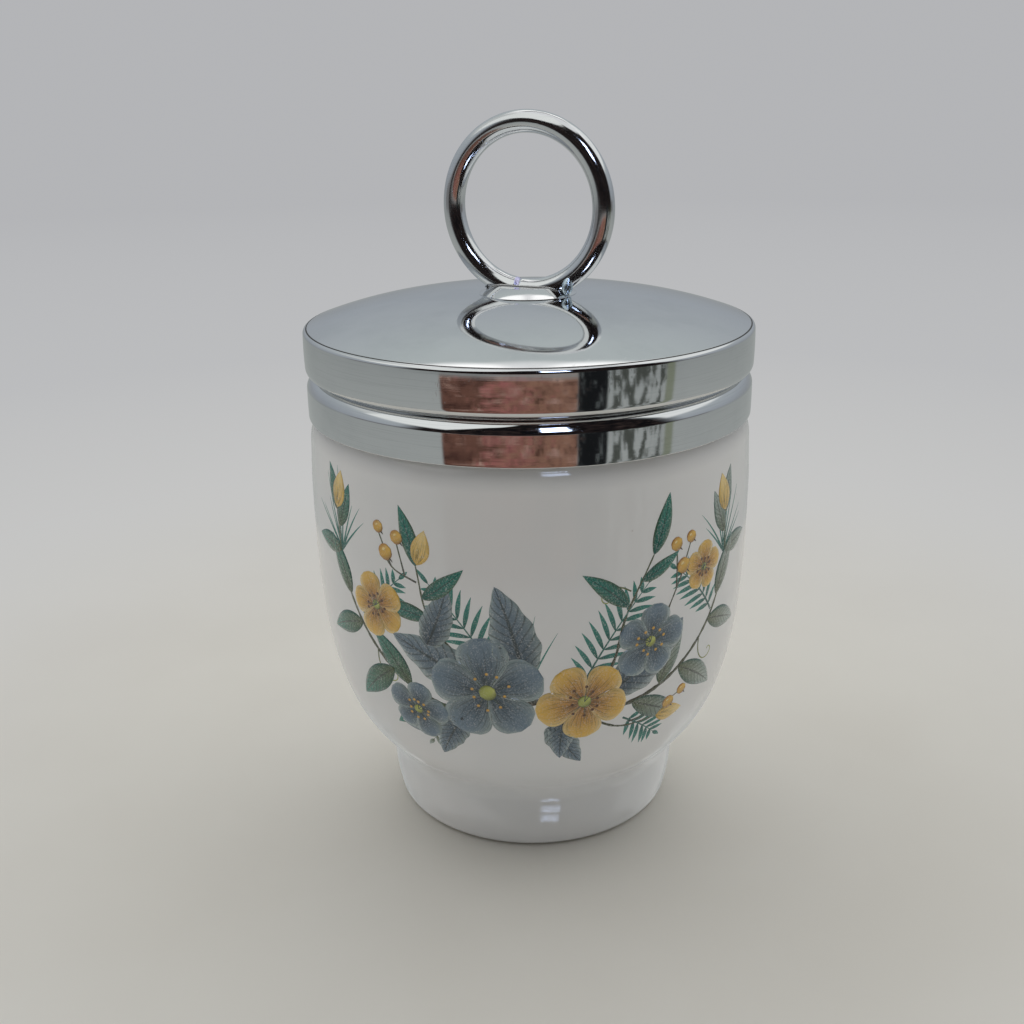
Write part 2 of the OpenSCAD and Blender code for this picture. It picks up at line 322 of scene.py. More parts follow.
def cup_outline():
    """The cup's whole section, from the middle of the hollow underneath to the middle of the floor inside."""
    band_seat_r = COLLAR_R - METAL_T - CEMENT_T
    neck_seat_r = CORE_R - METAL_T - CEMENT_T
    step_low_z = LEDGE_Z - COLLAR_ROUND_R - METAL_T / 2
    step_high_z = LEDGE_Z - LEDGE_T
    middle_z = (step_high_z + BELLY_Z) / 2
    corner_z = FOOT_H + BOWL_CORNER_H
    bowl_in_r = BELLY_R - WALL_T
    recess_corner = (RECESS_R - RECESS_CORNER_R, RECESS_DEPTH - RECESS_CORNER_R)
    return (
        [(0, RECESS_DEPTH)]
        + arc(recess_corner, RECESS_CORNER_R, 90, 0)
        + arc((RECESS_R + FOOT_INNER_EDGE_R, FOOT_INNER_EDGE_R), FOOT_INNER_EDGE_R, 180, 270)
        + arc((FOOT_BASE_R - FOOT_EDGE_R, FOOT_EDGE_R), FOOT_EDGE_R, -90, 0)
        + cup_outside()
        + [(band_seat_r, SHOULDER_Z), (band_seat_r, step_low_z - CEMENT_T)]
        + [(neck_seat_r, step_high_z - CEMENT_T)]
        + arc((neck_seat_r - RIM_PROUD, RIM_Z - RIM_PROUD), RIM_PROUD, 0, 90)
        + arc((MOUTH_R + RIM_ROUND_R, RIM_Z - RIM_ROUND_R), RIM_ROUND_R, 90, 180)
        + cubic((MOUTH_R, step_high_z), (MOUTH_R, middle_z), (bowl_in_r, middle_z), (bowl_in_r, BELLY_Z))
        + cubic((bowl_in_r, BELLY_Z - WALL_T), (bowl_in_r, corner_z), (FOOT_R, FLOOR_Z), (0, FLOOR_Z))
    )


def collar_outline():
    """The collar's section: a barrelled band, its corner, the ledge, the threaded neck and the inner step."""
    band_in_r = COLLAR_R - METAL_T
    neck_in_r = CORE_R - METAL_T
    edge_r = COLLAR_R - COLLAR_BARREL
    lower = arc((edge_r - COLLAR_EDGE_R, SHOULDER_Z + COLLAR_EDGE_R), COLLAR_EDGE_R, -90, 0)
    upper = chained_arcs(CORNER_ARCS, edge_r, LEDGE_Z)
    neck_top = turned([
        (CORE_R, LEDGE_Z, 0),
        (CORE_R, NECK_TOP_Z, NECK_CHAMFER),
        (neck_in_r, NECK_TOP_Z, INNER_EDGE_R),
        (neck_in_r, LEDGE_Z - LEDGE_T, 0),
    ])[1:]
    neck_foot = (CORE_R, LEDGE_Z + SUPPORT)
    return (
        [(band_in_r, SHOULDER_Z)]
        + lower
        + wall(lower[-1], upper[0], CURVE_STEPS // 2, COLLAR_BARREL)
        + upper
        + [(CORE_R + SUPPORT, LEDGE_Z), neck_foot]
        + wall(neck_foot, neck_top[0], CURVE_STEPS)
        + neck_top
        + [(band_in_r, LEDGE_Z - COLLAR_ROUND_R - METAL_T / 2)]
    )


def dome_share(r):
    """How far a radius lies between the land and the lid's edge, from 0 to 1."""
    return max(0.0, r - LAND_R) / (LID_R - LAND_R)


def dome_z(r):
    """Height of the dome at a radius."""
    return CROWN_Z - DOME_RISE * dome_share(r) ** DOME_POWER


def rim_edge():
    """Radius at which the dome passes into the rounding of its edge, and its slope there in degrees."""
    side_r = LID_R - BARREL
    share = dome_share(side_r - RIM_EDGE_R / 2)
    slope = degrees(atan(DOME_RISE * DOME_POWER * share ** (DOME_POWER - 1) / (LID_R - LAND_R)))
    return side_r - RIM_EDGE_R + RIM_EDGE_R * sin(radians(slope)), slope


def lid_outline():
    """The lid's section, from the lower lip up the skirt, over the dome, through its hole and back below."""
    side_r = LID_R - BARREL
    skirt_in_r = LID_R - SKIRT_T
    dome_t = CROWN_Z - CEILING_Z
    edge_r, slope = rim_edge()
    edge_z = dome_z(edge_r) - RIM_EDGE_R * cos(radians(slope))
    lip = arc((side_r - LIP_R, 0), LIP_R, -90, 0)
    lip = [Vector((p.x, LEDGE_Z + (p.y + LIP_R) * LIP_H / LIP_R)) for p in lip]
    rounding = arc((side_r - RIM_EDGE_R, edge_z), RIM_EDGE_R, 0, 90 - slope, 2 * ARC_STEPS)
    line_r = edge_r - RIM_LINE_W / 2
    inner_r = edge_r - RIM_LINE_W
    dome = [(line_r, dome_z(line_r) - RIM_LINE_DEPTH), (inner_r, dome_z(inner_r))]
    for i in range(2 * CURVE_STEPS):
        r = inner_r - SUPPORT + (LAND_R - inner_r + SUPPORT) * i / (2 * CURVE_STEPS - 1)
        dome.append((r, dome_z(r)))
    under = []
    for i in range(CURVE_STEPS + 1):
        r = LAND_R + (skirt_in_r - LID_CHAMFER - LAND_R) * i / CURVE_STEPS
        under.append((r, dome_z(r) - dome_t))
    corner = (skirt_in_r, dome_z(skirt_in_r) - dome_t - LID_CHAMFER)
    return (
        [(skirt_in_r, LEDGE_Z), (skirt_in_r + SUPPORT, LEDGE_Z)]
        + lip
        + wall(lip[-1], rounding[0], CURVE_STEPS // 2, BARREL)
        + rounding
        + dome
        + [(HOLE_R + SUPPORT, CROWN_Z), (HOLE_R, CROWN_Z - SUPPORT)]
        + [(HOLE_R, CEILING_Z + SUPPORT), (HOLE_R + SUPPORT, CEILING_Z)]
        + under
        + [corner]
        + wall(corner, (skirt_in_r, LEDGE_Z), CURVE_STEPS)
    )


def boss_outline():
    """The boss's section with its tenon and peened head, from the head's bottom to the middle of the top."""
    under = turned([
        (0, WASHER_LOW_Z - HEAD_H, 0),
        (HEAD_FLAT_R, WASHER_LOW_Z - HEAD_H, HEAD_ROUNDINGS[0]),
        (HEAD_R, WASHER_LOW_Z - HEAD_EDGE_H, HEAD_ROUNDINGS[1]),
        (HEAD_R, WASHER_LOW_Z, INNER_EDGE_R),
        (TENON_R, WASHER_LOW_Z, INNER_EDGE_R),
        (TENON_R, CROWN_Z, INNER_EDGE_R),
        (BOSS_R, CROWN_Z, 0),
    ])
    cap = [(BOSS_LAND_R * i / ARC_STEPS, BOSS_TOP_Z) for i in range(ARC_STEPS)]
    cap += [(r, boss_z(r)) for r in np.linspace(BOSS_LAND_R, BOSS_R, CURVE_STEPS)]
    return under + cap[::-1]


def boss_z(r):
    """Height of the boss's upper side at a radius: a flat land and an ever steeper flank."""
    steps = np.linspace(BOSS_LAND_R, min(max(r, BOSS_LAND_R), BOSS_R), BOSS_STEPS)
    slopes = np.interp(steps, (BOSS_LAND_R, BOSS_LAND_R + BOSS_TURN_W, BOSS_R), (0, *BOSS_SLOPES))
    rates = np.tan(np.radians(slopes))
    return BOSS_TOP_Z - float(np.sum((rates[1:] + rates[:-1]) / 2 * np.diff(steps)))


# ---------------------------------------------------------------- meshes


def show(name, verts, faces):
    """A smooth mesh object from vertices in mm, with its faces turned outwards."""
    mesh = bpy.data.meshes.new(name)
    mesh.from_pydata((np.asarray(verts) * MM).tolist(), [], faces)
    shape = bmesh.new()
    shape.from_mesh(mesh)
    bmesh.ops.recalc_face_normals(shape, faces=shape.faces)
    shape.to_mesh(mesh)
    shape.free()
    mesh.polygons.foreach_set("use_smooth", [True] * len(mesh.polygons))
    obj = bpy.data.objects.new(name, mesh)
    bpy.context.scene.collection.objects.link(obj)
    return obj


def grid_faces(rows, columns, rows_close, columns_close):
    """Quads of a grid of vertices, numbered row by row."""
    faces = []
    for i in range(rows if rows_close else rows - 1):
        for j in range(columns if columns_close else columns - 1):
            ahead = (i + 1) % rows * columns
            beside = (j + 1) % columns
            faces.append((i * columns + j, i * columns + beside, ahead + beside, ahead + j))
    return faces


def lathe(name, outline, ridge=None, segments=SEGMENTS):
    """A surface turned about Z. An outline with both ends on the axis gets poles there, any other closes."""
    outline = [Vector(point) for point in outline]
    poles = outline[0].x == 0 and outline[-1].x == 0
    rows = outline[1:-1] if poles else outline
    angles = np.linspace(0, 2 * pi, segments, endpoint=False)
    radius = np.array([[p.x] * segments for p in rows])
    height = np.array([[p.y] * segments for p in rows])
    if ridge:
        radius += ridge(radius, height, angles)
    verts = np.stack([radius * np.cos(angles), radius * np.sin(angles), height], axis=2).reshape(-1, 3)
    faces = grid_faces(len(rows), segments, not poles, True)
    if poles:
        first, last = len(verts), len(verts) + 1
        verts = np.vstack([verts, [0, 0, outline[0].y], [0, 0, outline[-1].y]])
        top_row = (len(rows) - 1) * segments
        for j in range(segments):
            beside = (j + 1) % segments
            faces.append((beside, j, first))
            faces.append((top_row + j, top_row + beside, last))
    return show(name, verts, faces)


def thread(wall_r, start_angle, direction):
    """A function that raises a helical ridge from the wall of radius wall_r, for lathe."""

    def ridge(radius, height, angles):
        turn = ((angles - start_angle) / (2 * pi)) % 1.0
        on_wall = np.abs(radius - wall_r) < SUPPORT / 2
        raised = np.zeros_like(radius)
        for lap in range(ceil(RIDGE_TURNS)):
            along = turn + lap
            fade = np.clip(np.minimum(along, RIDGE_TURNS - along) / RIDGE_FADE, 0, 1)
            off = np.abs(height - RIDGE_START_Z - PITCH * along)
            slope = (RIDGE_BASE_W / 2 - off) / (RIDGE_BASE_W / 2 - RIDGE_CREST_W / 2)
            share = np.clip(slope, 0, 1)
            raised = np.maximum(raised, fade * share * share * (3 - 2 * share))
        return np.where(on_wall, direction * RIDGE_H * raised, 0.0)

    return ridge


def cut_slot(boss):
    """Cuts the slot for the ring's wire through the boss's top."""
    reach = BOSS_R + 1
    side = WIRE_R + SLOT_GAP
    box = (-reach, -side, SLOT_Z), (reach, side, BOSS_TOP_Z + 1)
    verts = [[box[k >> axis & 1][axis] for axis in range(3)] for k in range(8)]
    faces = [(0, 1, 3, 2), (4, 6, 7, 5), (0, 4, 5, 1), (2, 3, 7, 6), (0, 2, 6, 4), (1, 5, 7, 3)]
    cutter = show("slot_cutter", verts, faces)
    cut = boss.modifiers.new("slot", "BOOLEAN")
    cut.operation = "DIFFERENCE"
    cut.solver = "EXACT"
    cut.object = cutter
    made = boss.evaluated_get(bpy.context.evaluated_depsgraph_get())
    mesh = bpy.data.meshes.new_from_object(made)
    boss.modifiers.clear()
    boss.data = mesh
    bpy.data.objects.remove(cutter)
    boss.data.set_sharp_from_angle(angle=BOSS_SHARP)


def ring_stations(seam):
    """Angles along the ring from its lowest point, closer together round the seam."""
    even = np.linspace(-pi, pi, RING_STATIONS, endpoint=False)
    fine = seam + np.linspace(-SEAM_REACH, SEAM_REACH, 8 * SEAM_REACH + 1) * SEAM_W / RING_R
    kept = even[np.abs(even - seam) > (SEAM_REACH + 0.5) * SEAM_W / RING_R]
    return np.sort(np.concatenate([kept, fine]))


def ring_mesh():
    """The ring of slightly uneven wire, flat where it stands in its slot, with its seam's slanting dip."""
    seam = SEAM_ARC / RING_R
    stations = ring_stations(seam)
    verts = []
    for a in stations:
        wire = WIRE_R * (1 + WIRE_UNEVEN * sin(5 * a + 1)) - WIRE_SLACK
        for b in np.linspace(0, 2 * pi, WIRE_SIDES, endpoint=False):
            off = ((a - seam) * RING_R - SEAM_SLANT * cos(b)) / SEAM_W
            round_here = wire - SEAM_DEPTH * exp(-off * off)
            out = RING_R + round_here * cos(b)
            z = RING_Z - out * cos(a)
            verts.append((out * sin(a), round_here * sin(b), max(z, SLOT_Z)))
    return show("ring_wire", verts, grid_faces(len(stations), WIRE_SIDES, True, True))


def smooth_line(points, spacing=0.45):
    """Points along a smooth course through the given points."""
    p = [Vector(v) for v in points]
    p = [2 * p[0] - p[1]] + p + [2 * p[-1] - p[-2]]
    line = []
    for i in range(1, len(p) - 2):
        before, here, after, later = p[i - 1:i + 3]
        rise = after - before
        turn = 2 * before - 5 * here + 4 * after - later
        twist = 3 * here - before - 3 * after + later
        steps = max(2, int((after - here).length / spacing))
        for k in range(steps):
            t = k / steps
            line.append(0.5 * (2 * here + rise * t + turn * t * t + twist * t**3))
    line.append(p[-2])
    return line


def bead(path, across, sides=20):
    """Vertices and faces of a round bead along points (x, y, z, radius); across points off its course."""
    course = smooth_line(path, 0.12)
    verts = []
    for i, here in enumerate(course):
        tangent = (course[min(i + 1, len(course) - 1)] - course[max(i - 1, 0)]).xyz.normalized()
        side = tangent.cross(Vector(across)).normalized()
        up = side.cross(tangent)
        for k in range(sides):
            a = 2 * pi * k / sides
            verts.append(here.xyz + here.w * (cos(a) * side + sin(a) * up))
    faces = grid_faces(len(course), sides, False, True)
    faces.append(tuple(range(sides)))
    faces.append(tuple(len(verts) - sides + k for k in range(sides)))
    return verts, faces


def solder_mesh():
    """The solder at the ring's foot: a bead on each side, a wedge under each rise and a drip at one end."""
    beads = []
    crease = WIRE_R + CREASE_GAP
    for side in (-1, 1):
        line = []
        for i in range(BEAD_STEPS + 1):
            x = -BEAD_REACH + 2 * BEAD_REACH * i / BEAD_STEPS
            full = BEAD_R - BEAD_TAPER * abs(x / BEAD_REACH) ** 6 + BEAD_UNEVEN * sin(2.1 * x + side)
            line.append((x, side * crease, boss_z(hypot(x, crease)) + BEAD_LIFT, full))
        beads.append(bead(line, (0, 0.3, 1)))
        wedge = []
        for i in range(WEDGE_STEPS + 1):
            share = 2 * i / WEDGE_STEPS - 1
            swell = WEDGE_END_R + WEDGE_R * cos(share * pi / 2)
            x, y = side * (BOSS_R - WEDGE_INSET), share * (WIRE_R - WEDGE_SHORT)
            wedge.append((x, y, SLOT_Z + WEDGE_LIFT, swell))
        beads.append(bead(wedge, (0.3, 0, 1)))
    beads.append(bead([(x, y, CROWN_Z + above, full) for x, y, above, full in DRIP], (1, 0, 0)))
    verts, faces = [], []
    for bead_verts, bead_faces in beads:
        base = len(verts)
        verts += bead_verts
        faces += [tuple(base + v for v in f) for f in bead_faces]
    return show("ring_solder", verts, faces)


# ---------------------------------------------------------------- the printed spray

TEAL = (0.05, 0.26, 0.21)
DEEP_TEAL = (0.02, 0.12, 0.1)
OLIVE = (0.10, 0.12, 0.05)
BARK = (0.055, 0.045, 0.03)
SLATE = (0.17, 0.24, 0.30)
DEEP_SLATE = (0.04, 0.065, 0.09)
MIST = (0.42, 0.50, 0.47)
GOLD = (0.78, 0.50, 0.11)
PALE_GOLD = (0.85, 0.68, 0.32)
RUSSET = (0.34, 0.12, 0.05)
LEAF_YELLOW = (0.52, 0.56, 0.14)
# Root, tip and edge of the petals of a dark and of a yellow blossom, and of its broad and narrow leaves
SLATE_INKS = (DEEP_SLATE, SLATE, MIST)
GOLD_INKS = (RUSSET, GOLD, PALE_GOLD)
TEAL_INKS = (OLIVE, TEAL, DEEP_TEAL)

# Where the middle of the front spray lies round the cup, in radians from +X
FRONT = -pi / 2 + CAMERA_TURN
# Heights of the print's layers over the glaze. Each patch in a layer lies a step higher than the one before,
# and after INK_ROUND patches the steps start over.
NEEDLES_LIFT = 0.004
STEMS_LIFT = 0.012
LEAVES_LIFT = 0.019
BLOSSOMS_LIFT = 0.027
BERRIES_LIFT = 0.036
INK_STEP = 0.0003
INK_ROUND = 24
INK_THICKNESS = 0.03
PRINT_SEED = 11
BLADE_COLUMNS = 6
BLADE_ROWS_PER_MM = 2.5
BLADE_LEAST_HALF = 0.012


class Sheet:
    """The cup's outside unrolled: x runs round the belly and y up the surface from the crease, in mm."""

    def __init__(self):
        outside = cup_outside()
        self.r = np.array([p.x for p in outside])
        self.z = np.array([p.y for p in outside])
        along = np.concatenate([[0], np.cumsum(np.hypot(np.diff(self.r), np.diff(self.z)))])
        self.y = along - np.interp(FOOT_H, self.z, along)
        self.nr = np.gradient(self.z, self.y)
        self.nz = -np.gradient(self.r, self.y)

    def point(self, x, y, dx, dy, lift):
        """The point that lies dx and dy mm from the sheet's (x, y), lifted off the glaze."""
        r, z, nr, nz = (np.interp(y + dy, self.y, values) for values in (self.r, self.z, self.nr, self.nz))
        a = FRONT + x / BELLY_R + dx / r
        out = r + lift * nr
        return out * cos(a), out * sin(a), z + lift * nz


SHEET = Sheet()


def blend_colour(a, b, share):
    """Colour between a and b."""
    return tuple(p + (q - p) * share for p, q in zip(a, b))


class Ink:
    """One printed layer: patches of ink that share a material."""

    def __init__(self, name, lift, material):
        self.name = name
        self.lift = lift
        self.material = material
        self.patches = 0
        self.verts, self.faces, self.uvs, self.colours = [], [], [], []

    def patch(self, rows):
        """Adds a grid of (x, y, dx, dy, u, v, colour), given row by row."""
        base = len(self.verts)
        lift = self.lift + INK_STEP * (self.patches % INK_ROUND)
        self.patches += 1
        for row in rows:
            for x, y, dx, dy, u, v, colour in row:
                self.verts.append(SHEET.point(x, y, dx, dy, lift))
                self.uvs.append((u, v))
                self.colours.append((*colour, 1.0))
        self.faces += [tuple(base + k for k in f) for f in grid_faces(len(rows), len(rows[0]), False, False)]

    def blade(self, x, y, heading, length, width, outline, root, tip, edge=None, bend=0.0, start=0.0):
        """A leaf, petal or spot at (x, y) on the sheet, pointing along heading in degrees."""
        edge = edge or root
        heading = radians(heading)
        steps = max(8, int(length * BLADE_ROWS_PER_MM))
        rows = []
        for i in range(steps + 1):
            s = i / steps
            half = max(BLADE_LEAST_HALF, width / 2 * outline(s))
            tilt = atan(2 * bend * s)
            row = []
            for j in range(BLADE_COLUMNS + 1):
                t = 2 * j / BLADE_COLUMNS - 1
                along = start + length * s - sin(tilt) * half * t
                off = bend * length * s * s + cos(tilt) * half * t
                dx = along * cos(heading) - off * sin(heading)
                dy = along * sin(heading) + off * cos(heading)
                shade = blend_colour(blend_colour(root, tip, s), edge, 0.7 * abs(t) ** 3)
                row.append((x, y, dx, dy, s, (t + 1) / 2, shade))
            rows.append(row)
        self.patch(rows)

    def stroke(self, points, width, tip_width, colour, tip_colour, knots=0.0):
        """A stem or line through points of the sheet, with a smooth course."""
        line = smooth_line(points)
        lengths = [0.0]
        for a, b in zip(line, line[1:]):
            lengths.append(lengths[-1] + (b - a).length)
        rows = []
        for i, here in enumerate(line):
            s = lengths[i] / lengths[-1]
            ahead = line[min(i + 1, len(line) - 1)] - line[max(i - 1, 0)]
            side = Vector((-ahead.y, ahead.x)).normalized()
            swell = 1 + knots * (0.5 * sin(lengths[i] * 2.3) + 0.5 * sin(lengths[i] * 5.1 + 1))
            half = 0.5 * (width + (tip_width - width) * s) * swell
            row = []
            for t in (-1, -0.4, 0.4, 1):
                at = here + side * half * t
                shade = blend_colour(blend_colour(colour, tip_colour, s), MIST, 0.25 * max(0, -t))
                row.append((at.x, at.y, 0, 0, s, (t + 1) / 2, shade))
            rows.append(row)
        self.patch(rows)

    def build(self):
        """The layer as a thin film whose faces look away from the cup's axis."""
        obj = show(self.name, self.verts, self.faces)
        mesh = obj.data
        uv = mesh.uv_layers.new(name="Motif")
        uv.data.foreach_set("uv", [c for loop in mesh.loops for c in self.uvs[loop.vertex_index]])
        colours = mesh.color_attributes.new("Ink", "FLOAT_COLOR", "POINT")
        colours.data.foreach_set("color", [c for colour in self.colours for c in colour])
        shape = bmesh.new()
        shape.from_mesh(mesh)
        shape.normal_update()
        for face in shape.faces:
            centre = face.calc_center_median()
            if face.normal.x * centre.x + face.normal.y * centre.y < 0:
                face.normal_flip()
        shape.to_mesh(mesh)
        shape.free()
        film = obj.modifiers.new("film", "SOLIDIFY")
        film.thickness = INK_THICKNESS * MM
        film.offset = -1
        mesh.materials.append(self.material)
        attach(obj, "cup")


def leaf_shape(s):
    return sin(pi * s**0.8) ** 0.9


def broad_shape(s):
    return sin(pi * s**0.65) ** 0.75 * (1 + 0.05 * sin(26 * s))


def petal_shape(s):
    swell = sin(pi * min(1.0, 0.9 * s + 0.02)) ** 0.8
    return swell * (0.35 + 0.9 * s) * (1 - max(0, s - 0.9) * 4)


def round_shape(s):
    return sqrt(max(0.0, 1 - (2 * s - 1) ** 2))


def needle_shape(s):
    return (1 - s) ** 0.6 * (0.5 + 0.5 * min(1, 6 * s))


class Spray:
    """The print's layers, and the motifs that are drawn into them."""

    def __init__(self):
        self.random = random.Random(PRINT_SEED)
        self.needles = Ink("print_needles", NEEDLES_LIFT, surface("ink_needles", ink(plain_ink, 0.35)))
        self.stems = Ink("print_stems", STEMS_LIFT, surface("ink_stems", ink(bark, 0.3)))
        self.leaves = Ink("print_leaves", LEAVES_LIFT, surface("ink_leaves", ink(veins, 0.4)))
        self.blossoms = Ink("print_blossoms", BLOSSOMS_LIFT, surface("ink_petals", ink(streaks, 0.35)))
        self.berries = Ink("print_berries", BERRIES_LIFT, surface("ink_berries", ink(rings, 0.25)))

    def leaf(self, x, y, heading, length, inks=TEAL_INKS, bend=0.12, width=0.3):
        self.leaves.blade(x, y, heading, length, length * width, leaf_shape, *inks, bend)

    def broad_leaf(self, x, y, heading, length):
        self.leaves.blade(x, y, heading, length, length * 0.48, broad_shape, *SLATE_INKS, 0.1)

    def tuft(self, x, y, heading, length, count, spread):
        """Fine strokes that fan out from a point."""
        for i in range(count):
            share = i / (count - 1) - 0.5
            turn = heading + spread * share + self.random.uniform(-4, 4)
            size = length * (1 - 0.5 * abs(share)) * self.random.uniform(0.75, 1.1)
            bend = 0.25 * share + self.random.uniform(-0.05, 0.05)
            self.needles.blade(x, y, turn, size, 0.34, needle_shape, DEEP_TEAL, TEAL, TEAL, bend)

    def blossom(self, x, y, size, turn, inks=SLATE_INKS, heart=GOLD, petals=5):
        """An open flower with notched petals, stamens and a heart."""
        for i in range(petals):
            heading = turn + 360 * i / petals + self.random.uniform(-4, 4)
            length = size / 2 * self.random.uniform(0.92, 1.04)
            self.blossoms.blade(x, y, heading, length, length * 0.98, petal_shape, *inks, 0.04)
        for i in range(2 * petals):
            heading = turn + 180 * i / petals + self.random.uniform(-8, 8)
            reach = size * self.random.uniform(0.13, 0.2)
            self.berries.blade(x, y, heading, reach, 0.14, needle_shape, DEEP_SLATE, OLIVE, OLIVE)
            away = radians(heading)
            self.spot(x + reach * cos(away), y + reach * sin(away), 0.42, heart, RUSSET)
        self.spot(x, y, size * 0.15, LEAF_YELLOW, OLIVE)

    def spot(self, x, y, size, colour, edge):
        """A round spot, darker towards its edge."""
        root = blend_colour(colour, edge, 0.35)
        self.berries.blade(x, y, 35, size, size, round_shape, root, colour, edge, 0.0, -size / 2)

    def bud(self, x, y, heading, size, colour=GOLD, tip=PALE_GOLD):
        """A closed bud held by two small sepals."""
        self.blossoms.blade(x, y, heading, size, size * 0.55, leaf_shape, colour, tip, colour)
        for turn in (-16, 16):
            self.leaves.blade(x, y, heading + turn, size * 0.55, size * 0.2, leaf_shape, *TEAL_INKS)

    def berry(self, x, y, size):
        """A round berry with a light and a dry tip."""
        self.spot(x, y, size, GOLD, RUSSET)
        light = (x - size * 0.12, y + size * 0.14, 35, size * 0.26, size * 0.2)
        self.berries.blade(*light, round_shape, PALE_GOLD, PALE_GOLD, GOLD, 0.0, -size * 0.1)
        self.berries.blade(x + size * 0.3, y - size * 0.32, -45, size * 0.3, 0.22, needle_shape, BARK, BARK)

    def frond(self, x, y, heading, length, pairs, size, bend, root=DEEP_TEAL, tip=TEAL):
        """A fern-like frond: leaflets in pairs along a bent midrib."""
        turn = radians(heading)
        line = []
        for i in range(pairs + 1):
            s = i / pairs
            along, off = length * s, bend * length * s * s
            line.append((
                x + along * cos(turn) - off * sin(turn),
                y + along * sin(turn) + off * cos(turn),
            ))
        self.stems.stroke(line, 0.3, 0.1, root, tip)
        for i in range(1, pairs):
            s = i / pairs
            tangent = heading + degrees(atan(2 * bend * s))
            reach = size * sin(pi * (0.14 + 0.8 * s)) ** 0.8
            for side in (-1, 1):
                lean = tangent + side * (58 - 22 * s) + self.random.uniform(-3, 3)
                self.needles.blade(*line[i], lean, reach, 0.62, leaf_shape, root, tip, tip, 0.12 * side)
        self.needles.blade(*line[-1], tangent, size * 0.5, 0.6, leaf_shape, root, tip, tip)

    def tendril(self, x, y, heading, size):
        """A thin line that curls up at its end."""
        points = []
        turn, reach = radians(heading), size * 0.42
        for i in range(12):
            points.append((x, y))
            x += reach * cos(turn)
            y += reach * sin(turn)
            turn += 0.25 + 0.07 * i
            reach *= 0.86
        self.stems.stroke(points, 0.2, 0.12, OLIVE, LEAF_YELLOW)

    def twig(self, points, width, tip):
        self.stems.stroke(points, width, tip, BARK, OLIVE, 0.25)

    def build(self):
        for layer in (self.needles, self.stems, self.leaves, self.blossoms, self.berries):
            layer.build()


